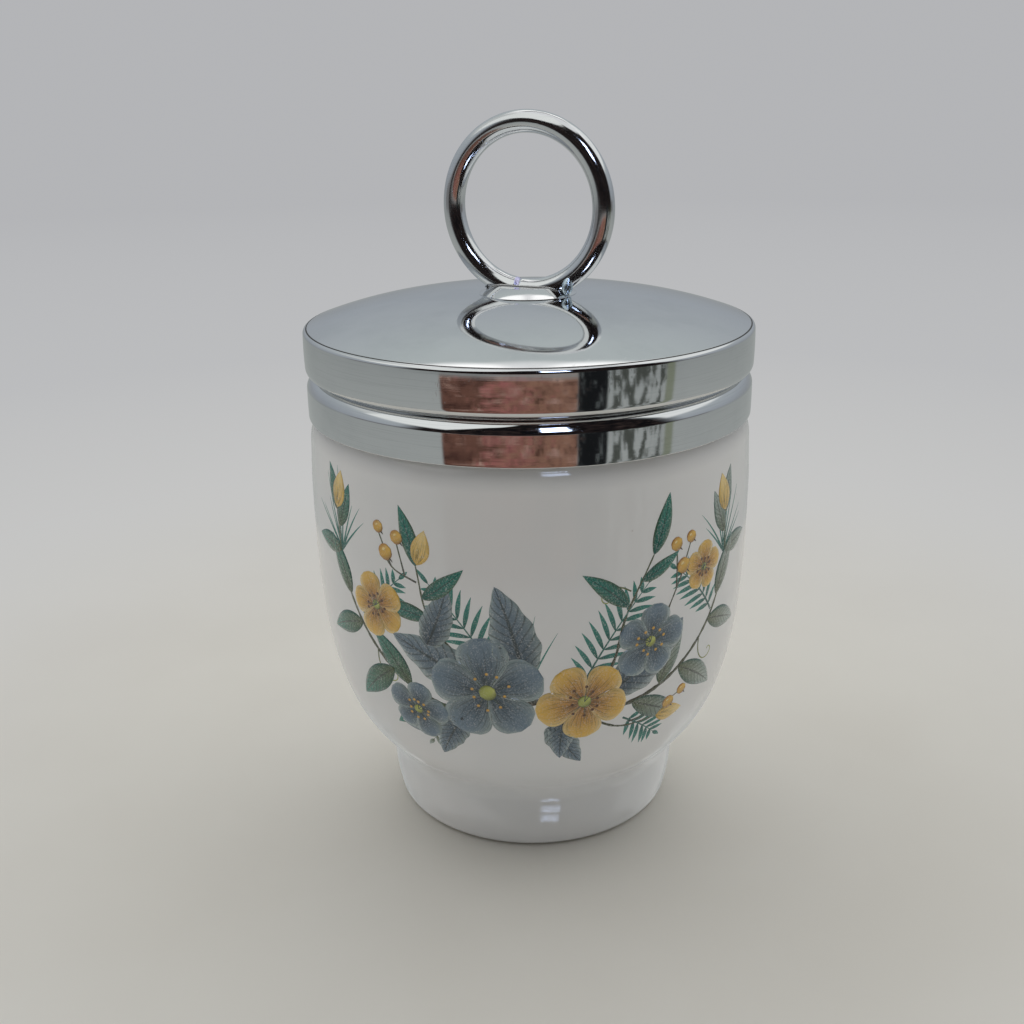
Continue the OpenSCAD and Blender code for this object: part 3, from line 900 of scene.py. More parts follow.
def front_spray(spray):
    """A crescent of two branches that rise from a posy low on the front."""
    for points, width, tip in (
        ([(1, 19.5), (-7, 17.4), (-15, 19), (-22, 24.5), (-26.5, 32), (-27.5, 40)], 0.75, 0.25),
        ([(2, 19.5), (10, 17.4), (18, 19.6), (24.5, 25), (28, 32), (28, 39)], 0.75, 0.25),
        ([(-4, 18.5), (-8, 24), (-12.5, 29.5), (-14, 36)], 0.5, 0.18),
        ([(7, 18.2), (10, 24), (11.5, 30), (15, 37)], 0.5, 0.18),
        ([(-2, 18), (-8, 14.6), (-14, 14)], 0.45, 0.18),
        ([(5, 18), (11, 14.4), (17, 14.2)], 0.45, 0.18),
    ):
        spray.twig(points, width, tip)
    spray.frond(-2.5, 20, 116, 17, 13, 4.6, 0.16)
    spray.frond(5.5, 20, 66, 16, 12, 4.4, -0.16)
    spray.frond(-10, 16, 222, 6, 6, 3.2, 0.1, OLIVE, MIST)
    spray.frond(12, 15.5, -30, 7, 7, 3.4, -0.1)
    spray.frond(-23, 26, 62, 10, 9, 3.6, -0.2)
    spray.frond(25.5, 27, 122, 10, 9, 3.6, 0.2)
    spray.tuft(-26.8, 35, 92, 10, 9, 84)
    spray.tuft(27.8, 34, 88, 10, 9, 84)
    spray.tuft(-1, 20, 92, 12, 7, 34)
    for leaf in (
        (-11, 17.8, 205, 9.5), (-16, 19.6, 122, 8.5), (-18.5, 21.4, 215, 9.5), (-23.4, 26.4, 196, 8.5),
        (-25.4, 29.6, 112, 8.0), (-26.9, 35, 172, 7.0), (-27.3, 38, 60, 6.5), (-27.5, 40, 100, 6.0),
    ):
        spray.leaf(*leaf, width=0.36)
    for leaf in (
        (13, 17.6, -22, 9.0), (17, 19.2, 76, 8.5), (20, 20.8, -28, 9.5), (25, 25.8, -12, 8.5),
        (26.6, 28.6, 70, 8.0), (28.1, 34, 12, 7.0), (28, 36.6, 122, 6.5), (28, 39, 84, 6.0),
    ):
        spray.leaf(*leaf, (OLIVE, MIST, DEEP_TEAL), -0.12, width=0.36)
    for leaf in (
        (-6, 21, 150, 13), (-1, 23, 100, 12), (10, 20, 32, 12.5), (-9, 16.5, 238, 8),
        (2.5, 16, -68, 8), (-13, 26, 64, 8.5), (4, 17, 262, 7),
    ):
        spray.broad_leaf(*leaf)
    for leaf in (
        (-13.4, 32, 32, 7), (-14, 36, 100, 7.5), (-12.4, 29.5, 168, 7.5),
        (10.8, 27, 8, 7), (11.8, 31, 134, 7.5), (15, 37, 66, 7.5), (13.4, 34, 20, 6),
    ):
        spray.leaf(*leaf, (DEEP_TEAL, TEAL, OLIVE))
    spray.blossom(-5.5, 20.5, 14.5, 20)
    spray.blossom(6.5, 19, 11.5, 50, GOLD_INKS, BARK)
    spray.blossom(-15.5, 16.2, 8.5, 5)
    spray.blossom(15, 25.8, 10.0, 80)
    spray.blossom(-20.5, 29.6, 8.5, 33, GOLD_INKS, BARK)
    spray.blossom(23.4, 33.4, 6.5, 10, GOLD_INKS, BARK)
    spray.bud(-14.2, 13.8, 186, 4.4, SLATE, MIST)
    for bud in ((-27.5, 40.4, 78, 5.0), (28, 39.4, 102, 5.0), (-13.8, 36.2, 76, 4.6), (17.4, 14.2, -4, 4.6)):
        spray.bud(*bud)
    for berry in (
        (-18.4, 37, 2.1), (-16.6, 39.2, 1.8), (-19.4, 40, 1.6), (19.6, 34.6, 2.1),
        (18.4, 37.6, 1.8), (20.8, 38, 1.6), (19.2, 15.8, 1.9), (21.4, 17, 1.6),
    ):
        spray.berry(*berry)
    for points in (
        [(-14, 34), (-17, 35), (-18.4, 36.2)], [(-15.6, 34.6), (-16.6, 38.4)], [(-17.6, 35.4), (-19.3, 39.3)],
        [(17, 28.6), (19.4, 33.6)], [(18.6, 32), (18.5, 36.8)], [(19, 32.6), (20.7, 37.3)],
        [(13, 14.6), (19, 15.6)], [(16, 15), (21, 16.8)],
    ):
        spray.twig(points, 0.24, 0.16)
    spray.tendril(-21, 23.5, 265, 3.2)
    spray.tendril(23.5, 24, -90, 3.2)
    spray.tendril(12, 33, 150, 2.6)


def side_sprig(spray, x):
    """A tall upright sprig of yellow-green leaves."""
    spray.twig([(x, 21), (x + 0.8, 28), (x - 0.4, 36), (x + 0.3, 45)], 0.4, 0.14)
    for i in range(7):
        turn, bend = (52, -0.1) if i % 2 else (128, 0.1)
        spray.leaf(x, 23.5 + 3.1 * i, turn, 6.6 - 0.35 * i, (OLIVE, LEAF_YELLOW, OLIVE), bend)
    spray.bud(x + 0.3, 45, 88, 3.4)


def back_posy(spray, x):
    """A small posy of one blossom, leaves, a frond and berries."""
    spray.twig([(x - 8, 22), (x - 2, 24), (x + 3, 28), (x + 8, 34)], 0.5, 0.18)
    spray.frond(x - 2, 26, 124, 12, 10, 3.8, 0.16)
    spray.tuft(x + 2, 28, 60, 9, 7, 50)
    for dx, y, heading in ((-6, 22.6, 200), (-3, 23.6, 300), (4, 29, 140), (6, 31.6, 20), (8, 34, 60)):
        spray.leaf(x + dx, y, heading, 7.5, width=0.36)
    spray.broad_leaf(x + 1, 27, 330, 10)
    spray.broad_leaf(x - 2, 26, 180, 9)
    spray.blossom(x, 27, 11, 40)
    spray.bud(x + 8, 34, 52, 4.4)
    for dx, y in ((-8.4, 20.4), (-7.0, 18.8), (-9.4, 18.6)):
        spray.berry(x + dx, y, 1.8)


# ---------------------------------------------------------------- materials


def rgba(value):
    """A colour as a socket takes it; another node's output stays as it is."""
    return value if isinstance(value, bpy.types.NodeSocket) else (*value, 1.0)


class Shader:
    """A node tree that is built by calls."""

    def __init__(self, tree):
        self.tree = tree

    def feed(self, node, inputs):
        """Gives a node's sockets their values or links."""
        for key, value in inputs.items():
            if isinstance(value, bpy.types.NodeSocket):
                self.tree.links.new(value, node.inputs[key])
            else:
                node.inputs[key].default_value = value

    def add(self, kind, inputs=None, out=0, **settings):
        """A node of the given kind; inputs maps a socket to a value or to another node's output."""
        node = self.tree.nodes.new(kind)
        for key, value in settings.items():
            setattr(node, key, value)
        self.feed(node, inputs or {})
        return node.outputs[out]

    def math(self, operation, a, b=0.0, c=0.0):
        return self.add("ShaderNodeMath", {0: a, 1: b, 2: c}, operation=operation)

    def times(self, a, b):
        return self.math("MULTIPLY", a, b)

    def step(self, value, low, high, start=0.0, end=1.0):
        """A smooth step from start to end as value goes from low to high."""
        sockets = {"Value": value, "From Min": low, "From Max": high, "To Min": start, "To Max": end}
        return self.add("ShaderNodeMapRange", sockets, interpolation_type="SMOOTHSTEP")

    def band(self, value, low, high, soft):
        """1 between low and high, falling to 0 over soft on both sides."""
        rise = self.step(value, low - soft, low + soft)
        return self.times(rise, self.step(value, high - soft, high + soft, 1.0, 0.0))

    def mix(self, share, a, b, blend="MIX"):
        """Colour a mixed with colour b."""
        sockets = {0: share, 6: rgba(a), 7: rgba(b)}
        return self.add("ShaderNodeMix", sockets, out=2, data_type="RGBA", blend_type=blend)

    def place(self):
        """The object's own coordinates."""
        return self.add("ShaderNodeTexCoord", out="Object")

    def axis(self, vector, index):
        return self.add("ShaderNodeSeparateXYZ", {0: vector}, out=index)

    def noise(self, vector, scale, detail=3.0, roughness=0.5, distortion=0.0):
        sockets = {"Vector": vector, "Scale": scale, "Detail": detail, "Roughness": roughness}
        return self.add("ShaderNodeTexNoise", {**sockets, "Distortion": distortion}, out="Fac")

    def lines(self, scale, detail, roughness):
        """Noise in the object's coordinates, scaled on each axis."""
        place = self.add("ShaderNodeMapping", {"Vector": self.place(), "Scale": scale})
        return self.noise(place, 1.0, detail, roughness)

    def bump(self, height, strength, distance):
        return self.add("ShaderNodeBump", {"Strength": strength, "Distance": distance, "Height": height})


def surface(name, make):
    """A material whose Principled shader gets the sockets that make returns."""
    material = bpy.data.materials.new(name)
    material.use_nodes = True
    shader = Shader(material.node_tree)
    shader.feed(material.node_tree.nodes["Principled BSDF"], make(shader))
    return material


GLAZE_WHITE = (0.80, 0.80, 0.785)
GLAZE_COOL = (0.74, 0.765, 0.77)
GLAZE_SPECK = (0.35, 0.30, 0.24)
# Grey of the painted shade on the glaze just under the collar
PAINTED_COLLAR_SHADE = (0.42, 0.42, 0.42)
BARE_CLAY = (0.70, 0.66, 0.59)
GLAZE_ROUGHNESS = 0.07
GLAZE_IOR = 1.52
INK_DARK = (0.03, 0.04, 0.035)


def glaze(shader):
    """Clear glaze on white porcelain: faint pooling, orange peel, a few specks, a bare rest face and painted
    shade under the collar.
    """
    place = shader.place()
    z = shader.axis(place, 2)
    cloud = shader.step(shader.noise(place, 60.0), 0.35, 0.7)
    colour = shader.mix(cloud, GLAZE_WHITE, blend_colour(GLAZE_WHITE, GLAZE_COOL, 0.5))
    pool = shader.band(z, (FOOT_H - 1.2) * MM, (FOOT_H + 0.2) * MM, 0.8 * MM)
    colour = shader.mix(shader.times(pool, 0.2), colour, GLAZE_COOL)
    cells = {"Vector": place, "Scale": 170.0, "Randomness": 1.0}
    speck = shader.step(shader.add("ShaderNodeTexVoronoi", cells, out="Distance"), 0.015, 0.03, 1.0, 0.0)
    colour = shader.mix(shader.times(speck, 0.25), colour, GLAZE_SPECK)
    # Painted shade: the glaze greys over the last 3 mm under the collar, as if the collar's edge shaded it.
    edge = shader.step(z, (SHOULDER_Z - 3.0) * MM, (SHOULDER_Z - 0.3) * MM, 0.0, 0.3)
    colour = shader.mix(edge, colour, PAINTED_COLLAR_SHADE)
    bare = shader.step(z, 0.12 * MM, 0.3 * MM, 1.0, 0.0)
    grain = shader.noise(place, 2500.0, 2.0)
    peel = shader.noise(place, 240.0, 1.0)
    height = shader.math("MULTIPLY_ADD", grain, shader.times(bare, 0.03), peel)
    return {
        "Base Color": shader.mix(bare, colour, BARE_CLAY),
        "Roughness": shader.step(bare, 0.0, 1.0, GLAZE_ROUGHNESS, 0.75),
        "IOR": GLAZE_IOR,
        "Normal": shader.bump(height, 0.35, 0.02 * MM),
    }


def ink(pattern, breaks):
    """Ink under the glaze: the layer's colours, its own pattern, and fine breaks that show the white."""

    def make(shader):
        motif = shader.add("ShaderNodeUVMap", uv_map="Motif")
        dark = pattern(shader, shader.axis(motif, 0), shader.axis(motif, 1))
        colour = shader.mix(dark, shader.add("ShaderNodeAttribute", attribute_name="Ink"), INK_DARK)
        place = shader.place()
        stipple = shader.noise(place, 5200.0, 2.0, 0.7)
        wash = shader.noise(place, 900.0, 3.0, 0.6)
        light = shader.times(shader.step(stipple, 0.5, 0.66), shader.step(wash, 0.3, 0.7, 0.25, 1.0))
        colour = shader.mix(shader.times(light, breaks), colour, GLAZE_WHITE)
        return {"Base Color": colour, "Roughness": GLAZE_ROUGHNESS, "IOR": GLAZE_IOR}

    return make


def veins(shader, along, across):
    """A midrib with slanting side veins."""
    off = shader.math("ABSOLUTE", shader.math("SUBTRACT", across, 0.5))
    rib = shader.step(off, 0.02, 0.06, 0.75, 0.0)
    slant = shader.math("SUBTRACT", along, shader.times(off, 0.42))
    wave = shader.math("SINE", shader.times(slant, 62.0))
    return shader.math("MAXIMUM", rib, shader.times(shader.step(wave, 0.55, 0.95), 0.5))


def streaks(shader, along, across):
    """Fine streaks that run out from a petal's root and fade."""
    spread = shader.add("ShaderNodeCombineXYZ", {0: shader.times(along, 1.2), 1: shader.times(across, 16.0)})
    lines = shader.step(shader.noise(spread, 1.6, 2.0, 0.6), 0.48, 0.6)
    return shader.times(lines, shader.step(along, 0.2, 0.95, 0.75, 0.12))


def rings(shader, along, across):
    """A soft dark side, as on a round berry."""
    return shader.times(shader.step(across, 0.45, 0.0), 0.35)


def bark(shader, along, across):
    """Short dark marks across a stem."""
    spread = shader.add("ShaderNodeCombineXYZ", {0: shader.times(along, 70.0), 1: across})
    return shader.times(shader.step(shader.noise(spread, 1.0, 3.0, 0.6), 0.45, 0.6), 0.6)


def plain_ink(shader, along, across):
    """Ink that is a little denser at the root of a stroke."""
    return shader.step(along, 0.0, 0.4, 0.3, 0.0)


def metal(colour, roughness, normal):
    """Sockets of a metal."""
    return {"Base Color": colour, "Metallic": 1.0, "Roughness": roughness, "Normal": normal}


CHROME = (0.72, 0.73, 0.74)
CHROME_FILM = (0.60, 0.62, 0.63)
CHROME_WORN = (0.58, 0.60, 0.60)
SEAM_BLUE = (0.68, 0.66, 0.92)
# Painted shade for the fine groove round the lid's dome
GROOVE_SHADE = (0.05, 0.045, 0.04)


def chrome(lines, wave, marks, smudge, lines_top=1.0, polish=0.045, seam_top=None, groove_shade_r=None):
    """Chrome plate over brass.

    lines, wave and marks are the bumps of its turning marks, its unevenness and its hairline marks, and
    smudge is what a film of handling adds to its roughness, polish. The turning marks end at the height
    lines_top, in m. Below the height seam_top, in mm, the ring's seam shows as dull, bluish solder. A painted
    shade darkens a turned line about the axis at the radius groove_shade_r, in mm, anywhere above lines_top.
    """

    def make(shader):
        place = shader.place()
        z = shader.axis(place, 2)
        film = shader.step(shader.noise(place, 85.0, 4.0, 0.6), 0.4, 0.75)
        colour = shader.mix(film, CHROME, blend_colour(CHROME, CHROME_FILM, 0.6))
        below = shader.step(z, lines_top - 0.3 * MM, lines_top, 1.0, 0.0)
        fine = shader.times(shader.lines((90.0, 90.0, 9000.0), 3.0, 0.6), below)
        colour = shader.mix(shader.times(shader.step(fine, 0.5, 0.7), 0.4), colour, CHROME_WORN)
        slow = shader.lines((30.0, 30.0, 700.0), 2.0, 0.5)
        hair = shader.step(shader.lines((2600.0, 160.0, 900.0), 2.0, 0.5), 0.66, 0.72)
        rough = shader.math("MULTIPLY_ADD", film, smudge, shader.math("MULTIPLY_ADD", hair, 0.06, polish))
        height = shader.math("MULTIPLY_ADD", slow, wave, shader.times(fine, lines))
        height = shader.math("MULTIPLY_ADD", hair, -marks, height)
        if seam_top:
            slant = SEAM_SLANT / WIRE_R
            leaning = shader.math("MULTIPLY_ADD", z, slant, shader.axis(place, 0))
            middle = SEAM_ARC + slant * (RING_Z - RING_R)
            joint = shader.band(leaning, (middle - SEAM_W) * MM, (middle + SEAM_W) * MM, 0.08 * MM)
            joint = shader.times(joint, shader.step(z, (seam_top - 1) * MM, seam_top * MM, 1.0, 0.0))
            colour = shader.mix(joint, colour, SEAM_BLUE)
            rough = shader.math("MULTIPLY_ADD", joint, 0.3, rough)
        # Painted shade: a dark, dull line about the axis in the fine groove between the dome and its rounded
        # edge.
        if groove_shade_r:
            flat = shader.add("ShaderNodeVectorMath", {0: place, 1: (1.0, 1.0, 0.0)}, operation="MULTIPLY")
            radius = shader.add("ShaderNodeVectorMath", {0: flat}, out="Value", operation="LENGTH")
            half = RIM_LINE_W / 2
            line = shader.band(radius, (groove_shade_r - half) * MM, (groove_shade_r + half) * MM, 0.03 * MM)
            line = shader.times(line, shader.step(z, lines_top - 0.3 * MM, lines_top))
            colour = shader.mix(line, colour, GROOVE_SHADE)
            rough = shader.math("MULTIPLY_ADD", line, 0.4, rough)
        return metal(colour, rough, shader.bump(height, 1.0, 1.0 * MM))

    return make


def tinned(shader):
    """Solder: a little rougher and duller than the wire, and bluish in the drop at the ring's end."""
    place = shader.place()
    lumps = shader.noise(place, 900.0, 3.0, 0.6)
    drop = shader.mix(shader.step(lumps, 0.35, 0.7), (0.66, 0.76, 0.82), (0.48, 0.60, 0.67))
    colour = shader.mix(shader.step(shader.axis(place, 0), 5.0 * MM, 5.5 * MM), (0.50, 0.50, 0.50), drop)
    return metal(colour, shader.step(lumps, 0.3, 0.7, 0.28, 0.42), shader.bump(lumps, 0.4, 0.04 * MM))


def brass(shader):
    """Turned brass with a brown film of age."""
    film = shader.noise(shader.place(), 500.0, 4.0, 0.6)
    colour = shader.mix(shader.step(film, 0.35, 0.7), (0.74, 0.58, 0.30), (0.42, 0.30, 0.14))
    lines = shader.lines((600.0, 600.0, 9000.0), 3.0, 0.6)
    return metal(colour, shader.step(film, 0.3, 0.8, 0.22, 0.42), shader.bump(lines, 0.5, 0.03 * MM))


def cement(shader):
    """Matt cream cement with fine grains and pores."""
    place = shader.place()
    grain = shader.noise(place, 1800.0, 4.0, 0.7)
    stain = shader.noise(place, 150.0, 3.0, 0.6)
    colour = shader.mix(shader.step(stain, 0.35, 0.7), (0.78, 0.75, 0.68), (0.60, 0.55, 0.46))
    return {
        "Base Color": shader.mix(shader.step(grain, 0.6, 0.75, 0.0, 0.4), colour, (0.45, 0.42, 0.37)),
        "Roughness": shader.step(grain, 0.3, 0.7, 0.75, 0.95),
        "Normal": shader.bump(grain, 0.8, 0.06 * MM),
    }


# ---------------------------------------------------------------- the pieces


def dress(piece, body, node, material):
    """Puts a piece in its CAD node's place on a body, with its material."""
    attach(piece, body)
    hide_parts(node)
    piece.data.materials.append(material)


def make_cup():
    cup = lathe("cup_body", cup_outline())
    dress(cup, "cup", "porcelain_cup", surface("porcelain_glaze", glaze))


def make_collar():
    collar = lathe("collar_band", collar_outline(), thread(CORE_R, 0, 1))
    finish = surface("band_chrome", chrome(0.0011, 0.009, 0.0, 0.05))
    dress(collar, "cup", "screw_collar", finish)


def make_lid():
    lid = lathe("lid_dome", lid_outline(), thread(LID_R - SKIRT_T, pi, -1))
    line_r = rim_edge()[0] - RIM_LINE_W / 2
    # The dome's chrome gets a painted shade in the fine groove between the dome and the rounding of its edge.
    finish = chrome(0.0011, 0.009, 0.0008, 0.04, lines_top=(CROWN_Z - DOME_RISE) * MM, groove_shade_r=line_r)
    dress(lid, "lid", "lid_shell", surface("dome_chrome", finish))


def make_boss():
    boss = lathe("boss_turned", boss_outline(), segments=SEGMENTS // 2)
    cut_slot(boss)
    dress(boss, "lid", "ring_boss", surface("boss_chrome", chrome(0.004, 0.0, 0.001, 0.05)))


def make_ring():
    finish = chrome(0.002, 0.0, 0.0015, 0.05, polish=0.1, seam_top=RING_Z - RING_R / 2)
    dress(ring_mesh(), "lid", "lifting_ring", surface("ring_chrome", finish))


def make_solder():
    solder = solder_mesh()
    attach(solder, "lid")
    solder.data.materials.append(surface("solder", tinned))


def paint(node, material):
    """Gives a CAD node that stays a material of its own."""
    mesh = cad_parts[node].data
    mesh.materials.clear()
    mesh.materials.append(material)


def print_spray():
    spray = Spray()
    front_spray(spray)
    side_sprig(spray, -45)
    side_sprig(spray, 48)
    back_posy(spray, 92)
    spray.build()


# ---------------------------------------------------------------- light, floor and camera

# Colours of the surroundings. Metal and glaze see a dark corner of the room on the camera's side.
WALL_NEAR = (0.575, 0.575, 0.565)
WALL_MIDDLE = (0.50, 0.505, 0.515)
WALL_FAR = (0.455, 0.46, 0.475)
FLOOR = (0.785, 0.768, 0.705)
FLOOR_CLOUD = (0.68, 0.65, 0.58)
FLOOR_BOUNCE = (0.93, 0.91, 0.865)
WINDOW = (5.2, 6.2, 8.6)
# How far round the foot the floor mirrors the room to metal and glaze, in m
FLOOR_GLEAM = (0.045, 0.028)
FLOOR_MIRROR = 0.55
# Distances from the cup's axis, in m: where the floor fades into the backdrop, and where polished metal
# stops seeing the floor.
FLOOR_FADE = (0.05, 0.16)
FLOOR_IN_METAL = (0.11, 0.13)
FLOOR_RINGS = (0.03, 0.06, 0.1, 0.2, 0.4, 0.8, 1.6, 3.2, 5.0)
FLOOR_SEGMENTS = 96


def world_angles(shader):
    """Azimuth from the camera's side, growing to its right, and elevation, in degrees."""
    direction = shader.add("ShaderNodeTexCoord", out="Generated")
    turn = {"Vector": direction, "Angle": -CAMERA_TURN}
    seen = shader.add("ShaderNodeVectorRotate", turn, rotation_type="Z_AXIS")
    away = shader.times(shader.axis(seen, 1), -1.0)
    azimuth = shader.math("DEGREES", shader.math("ARCTAN2", shader.axis(seen, 0), away))
    elevation = shader.math("DEGREES", shader.math("ARCSINE", shader.axis(seen, 2)))
    return azimuth, elevation


def ramp(shader, value, low, high, stops):
    """A colour that follows value through stops of (value, colour)."""
    share = shader.add("ShaderNodeMapRange", {"Value": value, "From Min": low, "From Max": high})
    node = shader.tree.nodes.new("ShaderNodeValToRGB")
    shader.tree.links.new(share, node.inputs[0])
    points = node.color_ramp.elements
    while len(points) < len(stops):
        points.new(0.5)
    for point, (at, colour) in zip(points, stops):
        point.position = (at - low) / (high - low)
        point.color = (*colour, 1.0)
    return node.outputs[0]


class Room:
    """What polished metal sees, laid patch over patch by azimuth and elevation."""

    def __init__(self, shader, azimuth, elevation):
        self.shader = shader
        self.azimuth = azimuth
        self.elevation = elevation
        self.aside = shader.math("ABSOLUTE", azimuth)
        self.colour = None

    def az(self, low, high, soft):
        return self.shader.band(self.azimuth, low, high, soft)

    def el(self, low, high, soft):
        return self.shader.band(self.elevation, low, high, soft)

    def above(self, low, high, end=1.0):
        """A step over the elevation; with low over high it holds below them."""
        return self.shader.step(self.elevation, low, high, 0.0, end)

    def over_line(self, value, slope, base, low, high, least=None):
        """A step over how far the elevation lies above slope times value plus base, and above least."""
        line = self.shader.math("MULTIPLY_ADD", value, slope, base)
        if least:
            line = self.shader.math("MAXIMUM", line, least)
        return self.shader.step(self.shader.math("SUBTRACT", self.elevation, line), low, high)

    def clouds(self, tall, scale, detail, roughness, distortion=0.0):
        """Noise over azimuth and elevation; a larger tall makes it flatter."""
        flat = {0: self.azimuth, 1: self.shader.times(self.elevation, tall)}
        vector = self.shader.add("ShaderNodeCombineXYZ", flat)
        return self.shader.noise(vector, scale, detail, roughness, distortion)

    def lay(self, across, up, colour):
        """Lays a colour where both shares are 1."""
        self.colour = self.shader.mix(self.shader.times(across, up), self.colour, colour)


def reflected_room(shader, azimuth, elevation):
    """A pale tent with a bright strip high up, and a dark camera side with a warm block and a window."""
    room = Room(shader, azimuth, elevation)
    room.colour = ramp(shader, elevation, -90, 90, [
        (-90, (0.45, 0.44, 0.41)), (-17, (0.37, 0.39, 0.38)), (-9, (0.32, 0.34, 0.335)),
        (0, (0.31, 0.33, 0.35)), (9, (0.355, 0.385, 0.42)), (24, (0.43, 0.465, 0.49)),
        (40, (0.505, 0.55, 0.555)), (48.5, (0.52, 0.565, 0.565)), (50.5, (0.90, 0.91, 0.91)),
        (54, (1.06, 1.05, 1.05)), (60, (1.0, 1.0, 1.0)), (66, (0.88, 0.89, 0.9)), (90, (0.80, 0.81, 0.82)),
    ])
    upright = room.clouds(0.7, 0.22, 4.0, 0.65)
    swirl = room.clouds(2.5, 0.07, 4.0, 0.5, 2.2)
    # A dull belt at both sides, and the dark on the camera's side
    room.lay(shader.band(room.aside, 45, 98, 6), room.el(-7, 2, 1.5), (0.19, 0.19, 0.195))
    dark = shader.mix(shader.step(swirl, 0.46, 0.7), (0.005, 0.005, 0.006), (0.055, 0.038, 0.034))
    room.lay(room.az(-62, 76, 9), room.el(-7.5, 67, 2), dark)
    # Opposite the camera: a glare to both sides of the middle, and a dark gap above it
    glare = room.over_line(room.aside, 0.38, -15.9, -1.0, 1.5)
    glare = shader.times(glare, shader.band(room.aside, 156, 176, 4))
    room.lay(glare, room.above(60, 57), (1.42, 1.41, 1.39))
    room.lay(shader.step(room.aside, 130, 150), room.el(60.5, 66, 1), (0.03, 0.03, 0.03))
    # Pale screens to the left, over the left and to the right, and an olive strip low beside the last
    room.lay(room.az(-128, -98, 5), room.el(30, 60, 5), (0.62, 0.64, 0.63))
    room.lay(room.over_line(azimuth, 1.05, 73.0, -2, 3, 27.0), room.az(-98, -10, 4), (0.90, 0.92, 0.90))
    room.lay(room.az(76, 148, 3), room.el(27, 54, 3), (0.88, 0.90, 0.89))
    room.lay(room.az(70, 75, 1), room.above(0, -6, 0.6), (0.13, 0.15, 0.06))
    # Low on the camera's side: the warm block, the black beside it, and dark marks on the pale wall
    room.lay(room.az(-43.5, 23.5, 0.8), room.above(-8, -10.5), warm_block(room))
    deep = shader.mix(shader.step(upright, 0.55, 0.62), (0.010, 0.011, 0.012), (0.10, 0.11, 0.11))
    room.lay(room.az(23.5, 38.5, 0.6), room.above(2, -3), deep)
    marks = shader.times(room.az(40, 70, 1.5), shader.step(upright, 0.47, 0.53))
    room.lay(shader.times(marks, room.above(0, -6)), 0.9, (0.04, 0.045, 0.036))
    panes = shader.math("SUBTRACT", room.el(31, 47, 1.2), room.el(37.4, 40.2, 0.8))
    room.lay(room.az(6.5, 21.5, 1.2), panes, WINDOW)
    return room.colour


def warm_block(room):
    """The warm block's colour: brown, paler to the right, rosy in the middle, with dark and light spots."""
    shader = room.shader
    blots = room.clouds(7.0, 0.06, 3.0, 0.5, 1.5)
    strokes = room.clouds(7.0, 0.045, 2.0, 0.4, 3.0)
    vein = shader.step(shader.math("ABSOLUTE", shader.math("SUBTRACT", strokes, 0.5)), 0.01, 0.03, 1.0, 0.0)
    drift = shader.math("MULTIPLY_ADD", strokes, 90.0, shader.math("SUBTRACT", room.azimuth, 25.0))
    rosy = shader.times(shader.band(drift, 4, 20, 3), shader.step(blots, 0.45, 0.5))
    warm = shader.mix(shader.step(drift, -14, 24), (0.14, 0.068, 0.05), (0.26, 0.14, 0.098))
    warm = shader.mix(rosy, warm, (0.34, 0.125, 0.118))
    warm = shader.mix(shader.step(blots, 0.58, 0.64), warm, (0.42, 0.27, 0.22))
    warm = shader.mix(shader.times(vein, 0.85), warm, (0.035, 0.018, 0.016))
    return shader.mix(shader.step(blots, 0.4, 0.36), warm, (0.05, 0.025, 0.02))


def lighting(shader, azimuth, elevation):
    """What lights the object: a soft tent, brighter above and behind than on the camera's side."""
    level = ramp(shader, elevation, -90, 90, [
        (-90, (0.5, 0.49, 0.47)), (-5, (0.68, 0.68, 0.67)), (30, (0.98, 0.985, 1.0)),
        (90, (1.18, 1.175, 1.17)),
    ])
    aside = shader.math("ABSOLUTE", azimuth)
    shade = shader.mix(shader.step(aside, 35, 120), (0.15, 0.15, 0.155), (1.0, 1.0, 1.0))
    shaded = shader.mix(1.0, level, shade, "MULTIPLY")
    return shader.mix(shader.step(elevation, 88, 50), level, shaded)


def make_world():
    world = bpy.data.worlds.new("studio")
    world.use_nodes = True
    world.node_tree.nodes.clear()
    shader = Shader(world.node_tree)
    azimuth, elevation = world_angles(shader)
    path = world.node_tree.nodes.new("ShaderNodeLightPath")
    light = lighting(shader, azimuth, elevation)
    seen = shader.mix(path.outputs["Is Glossy Ray"], light, reflected_room(shader, azimuth, elevation))
    seen = shader.mix(path.outputs["Is Camera Ray"], seen, WALL_FAR)
    background = shader.add("ShaderNodeBackground", {"Color": seen, "Strength": 1.0})
    shader.feed(world.node_tree.nodes.new("ShaderNodeOutputWorld"), {"Surface": background})
    bpy.context.scene.world = world


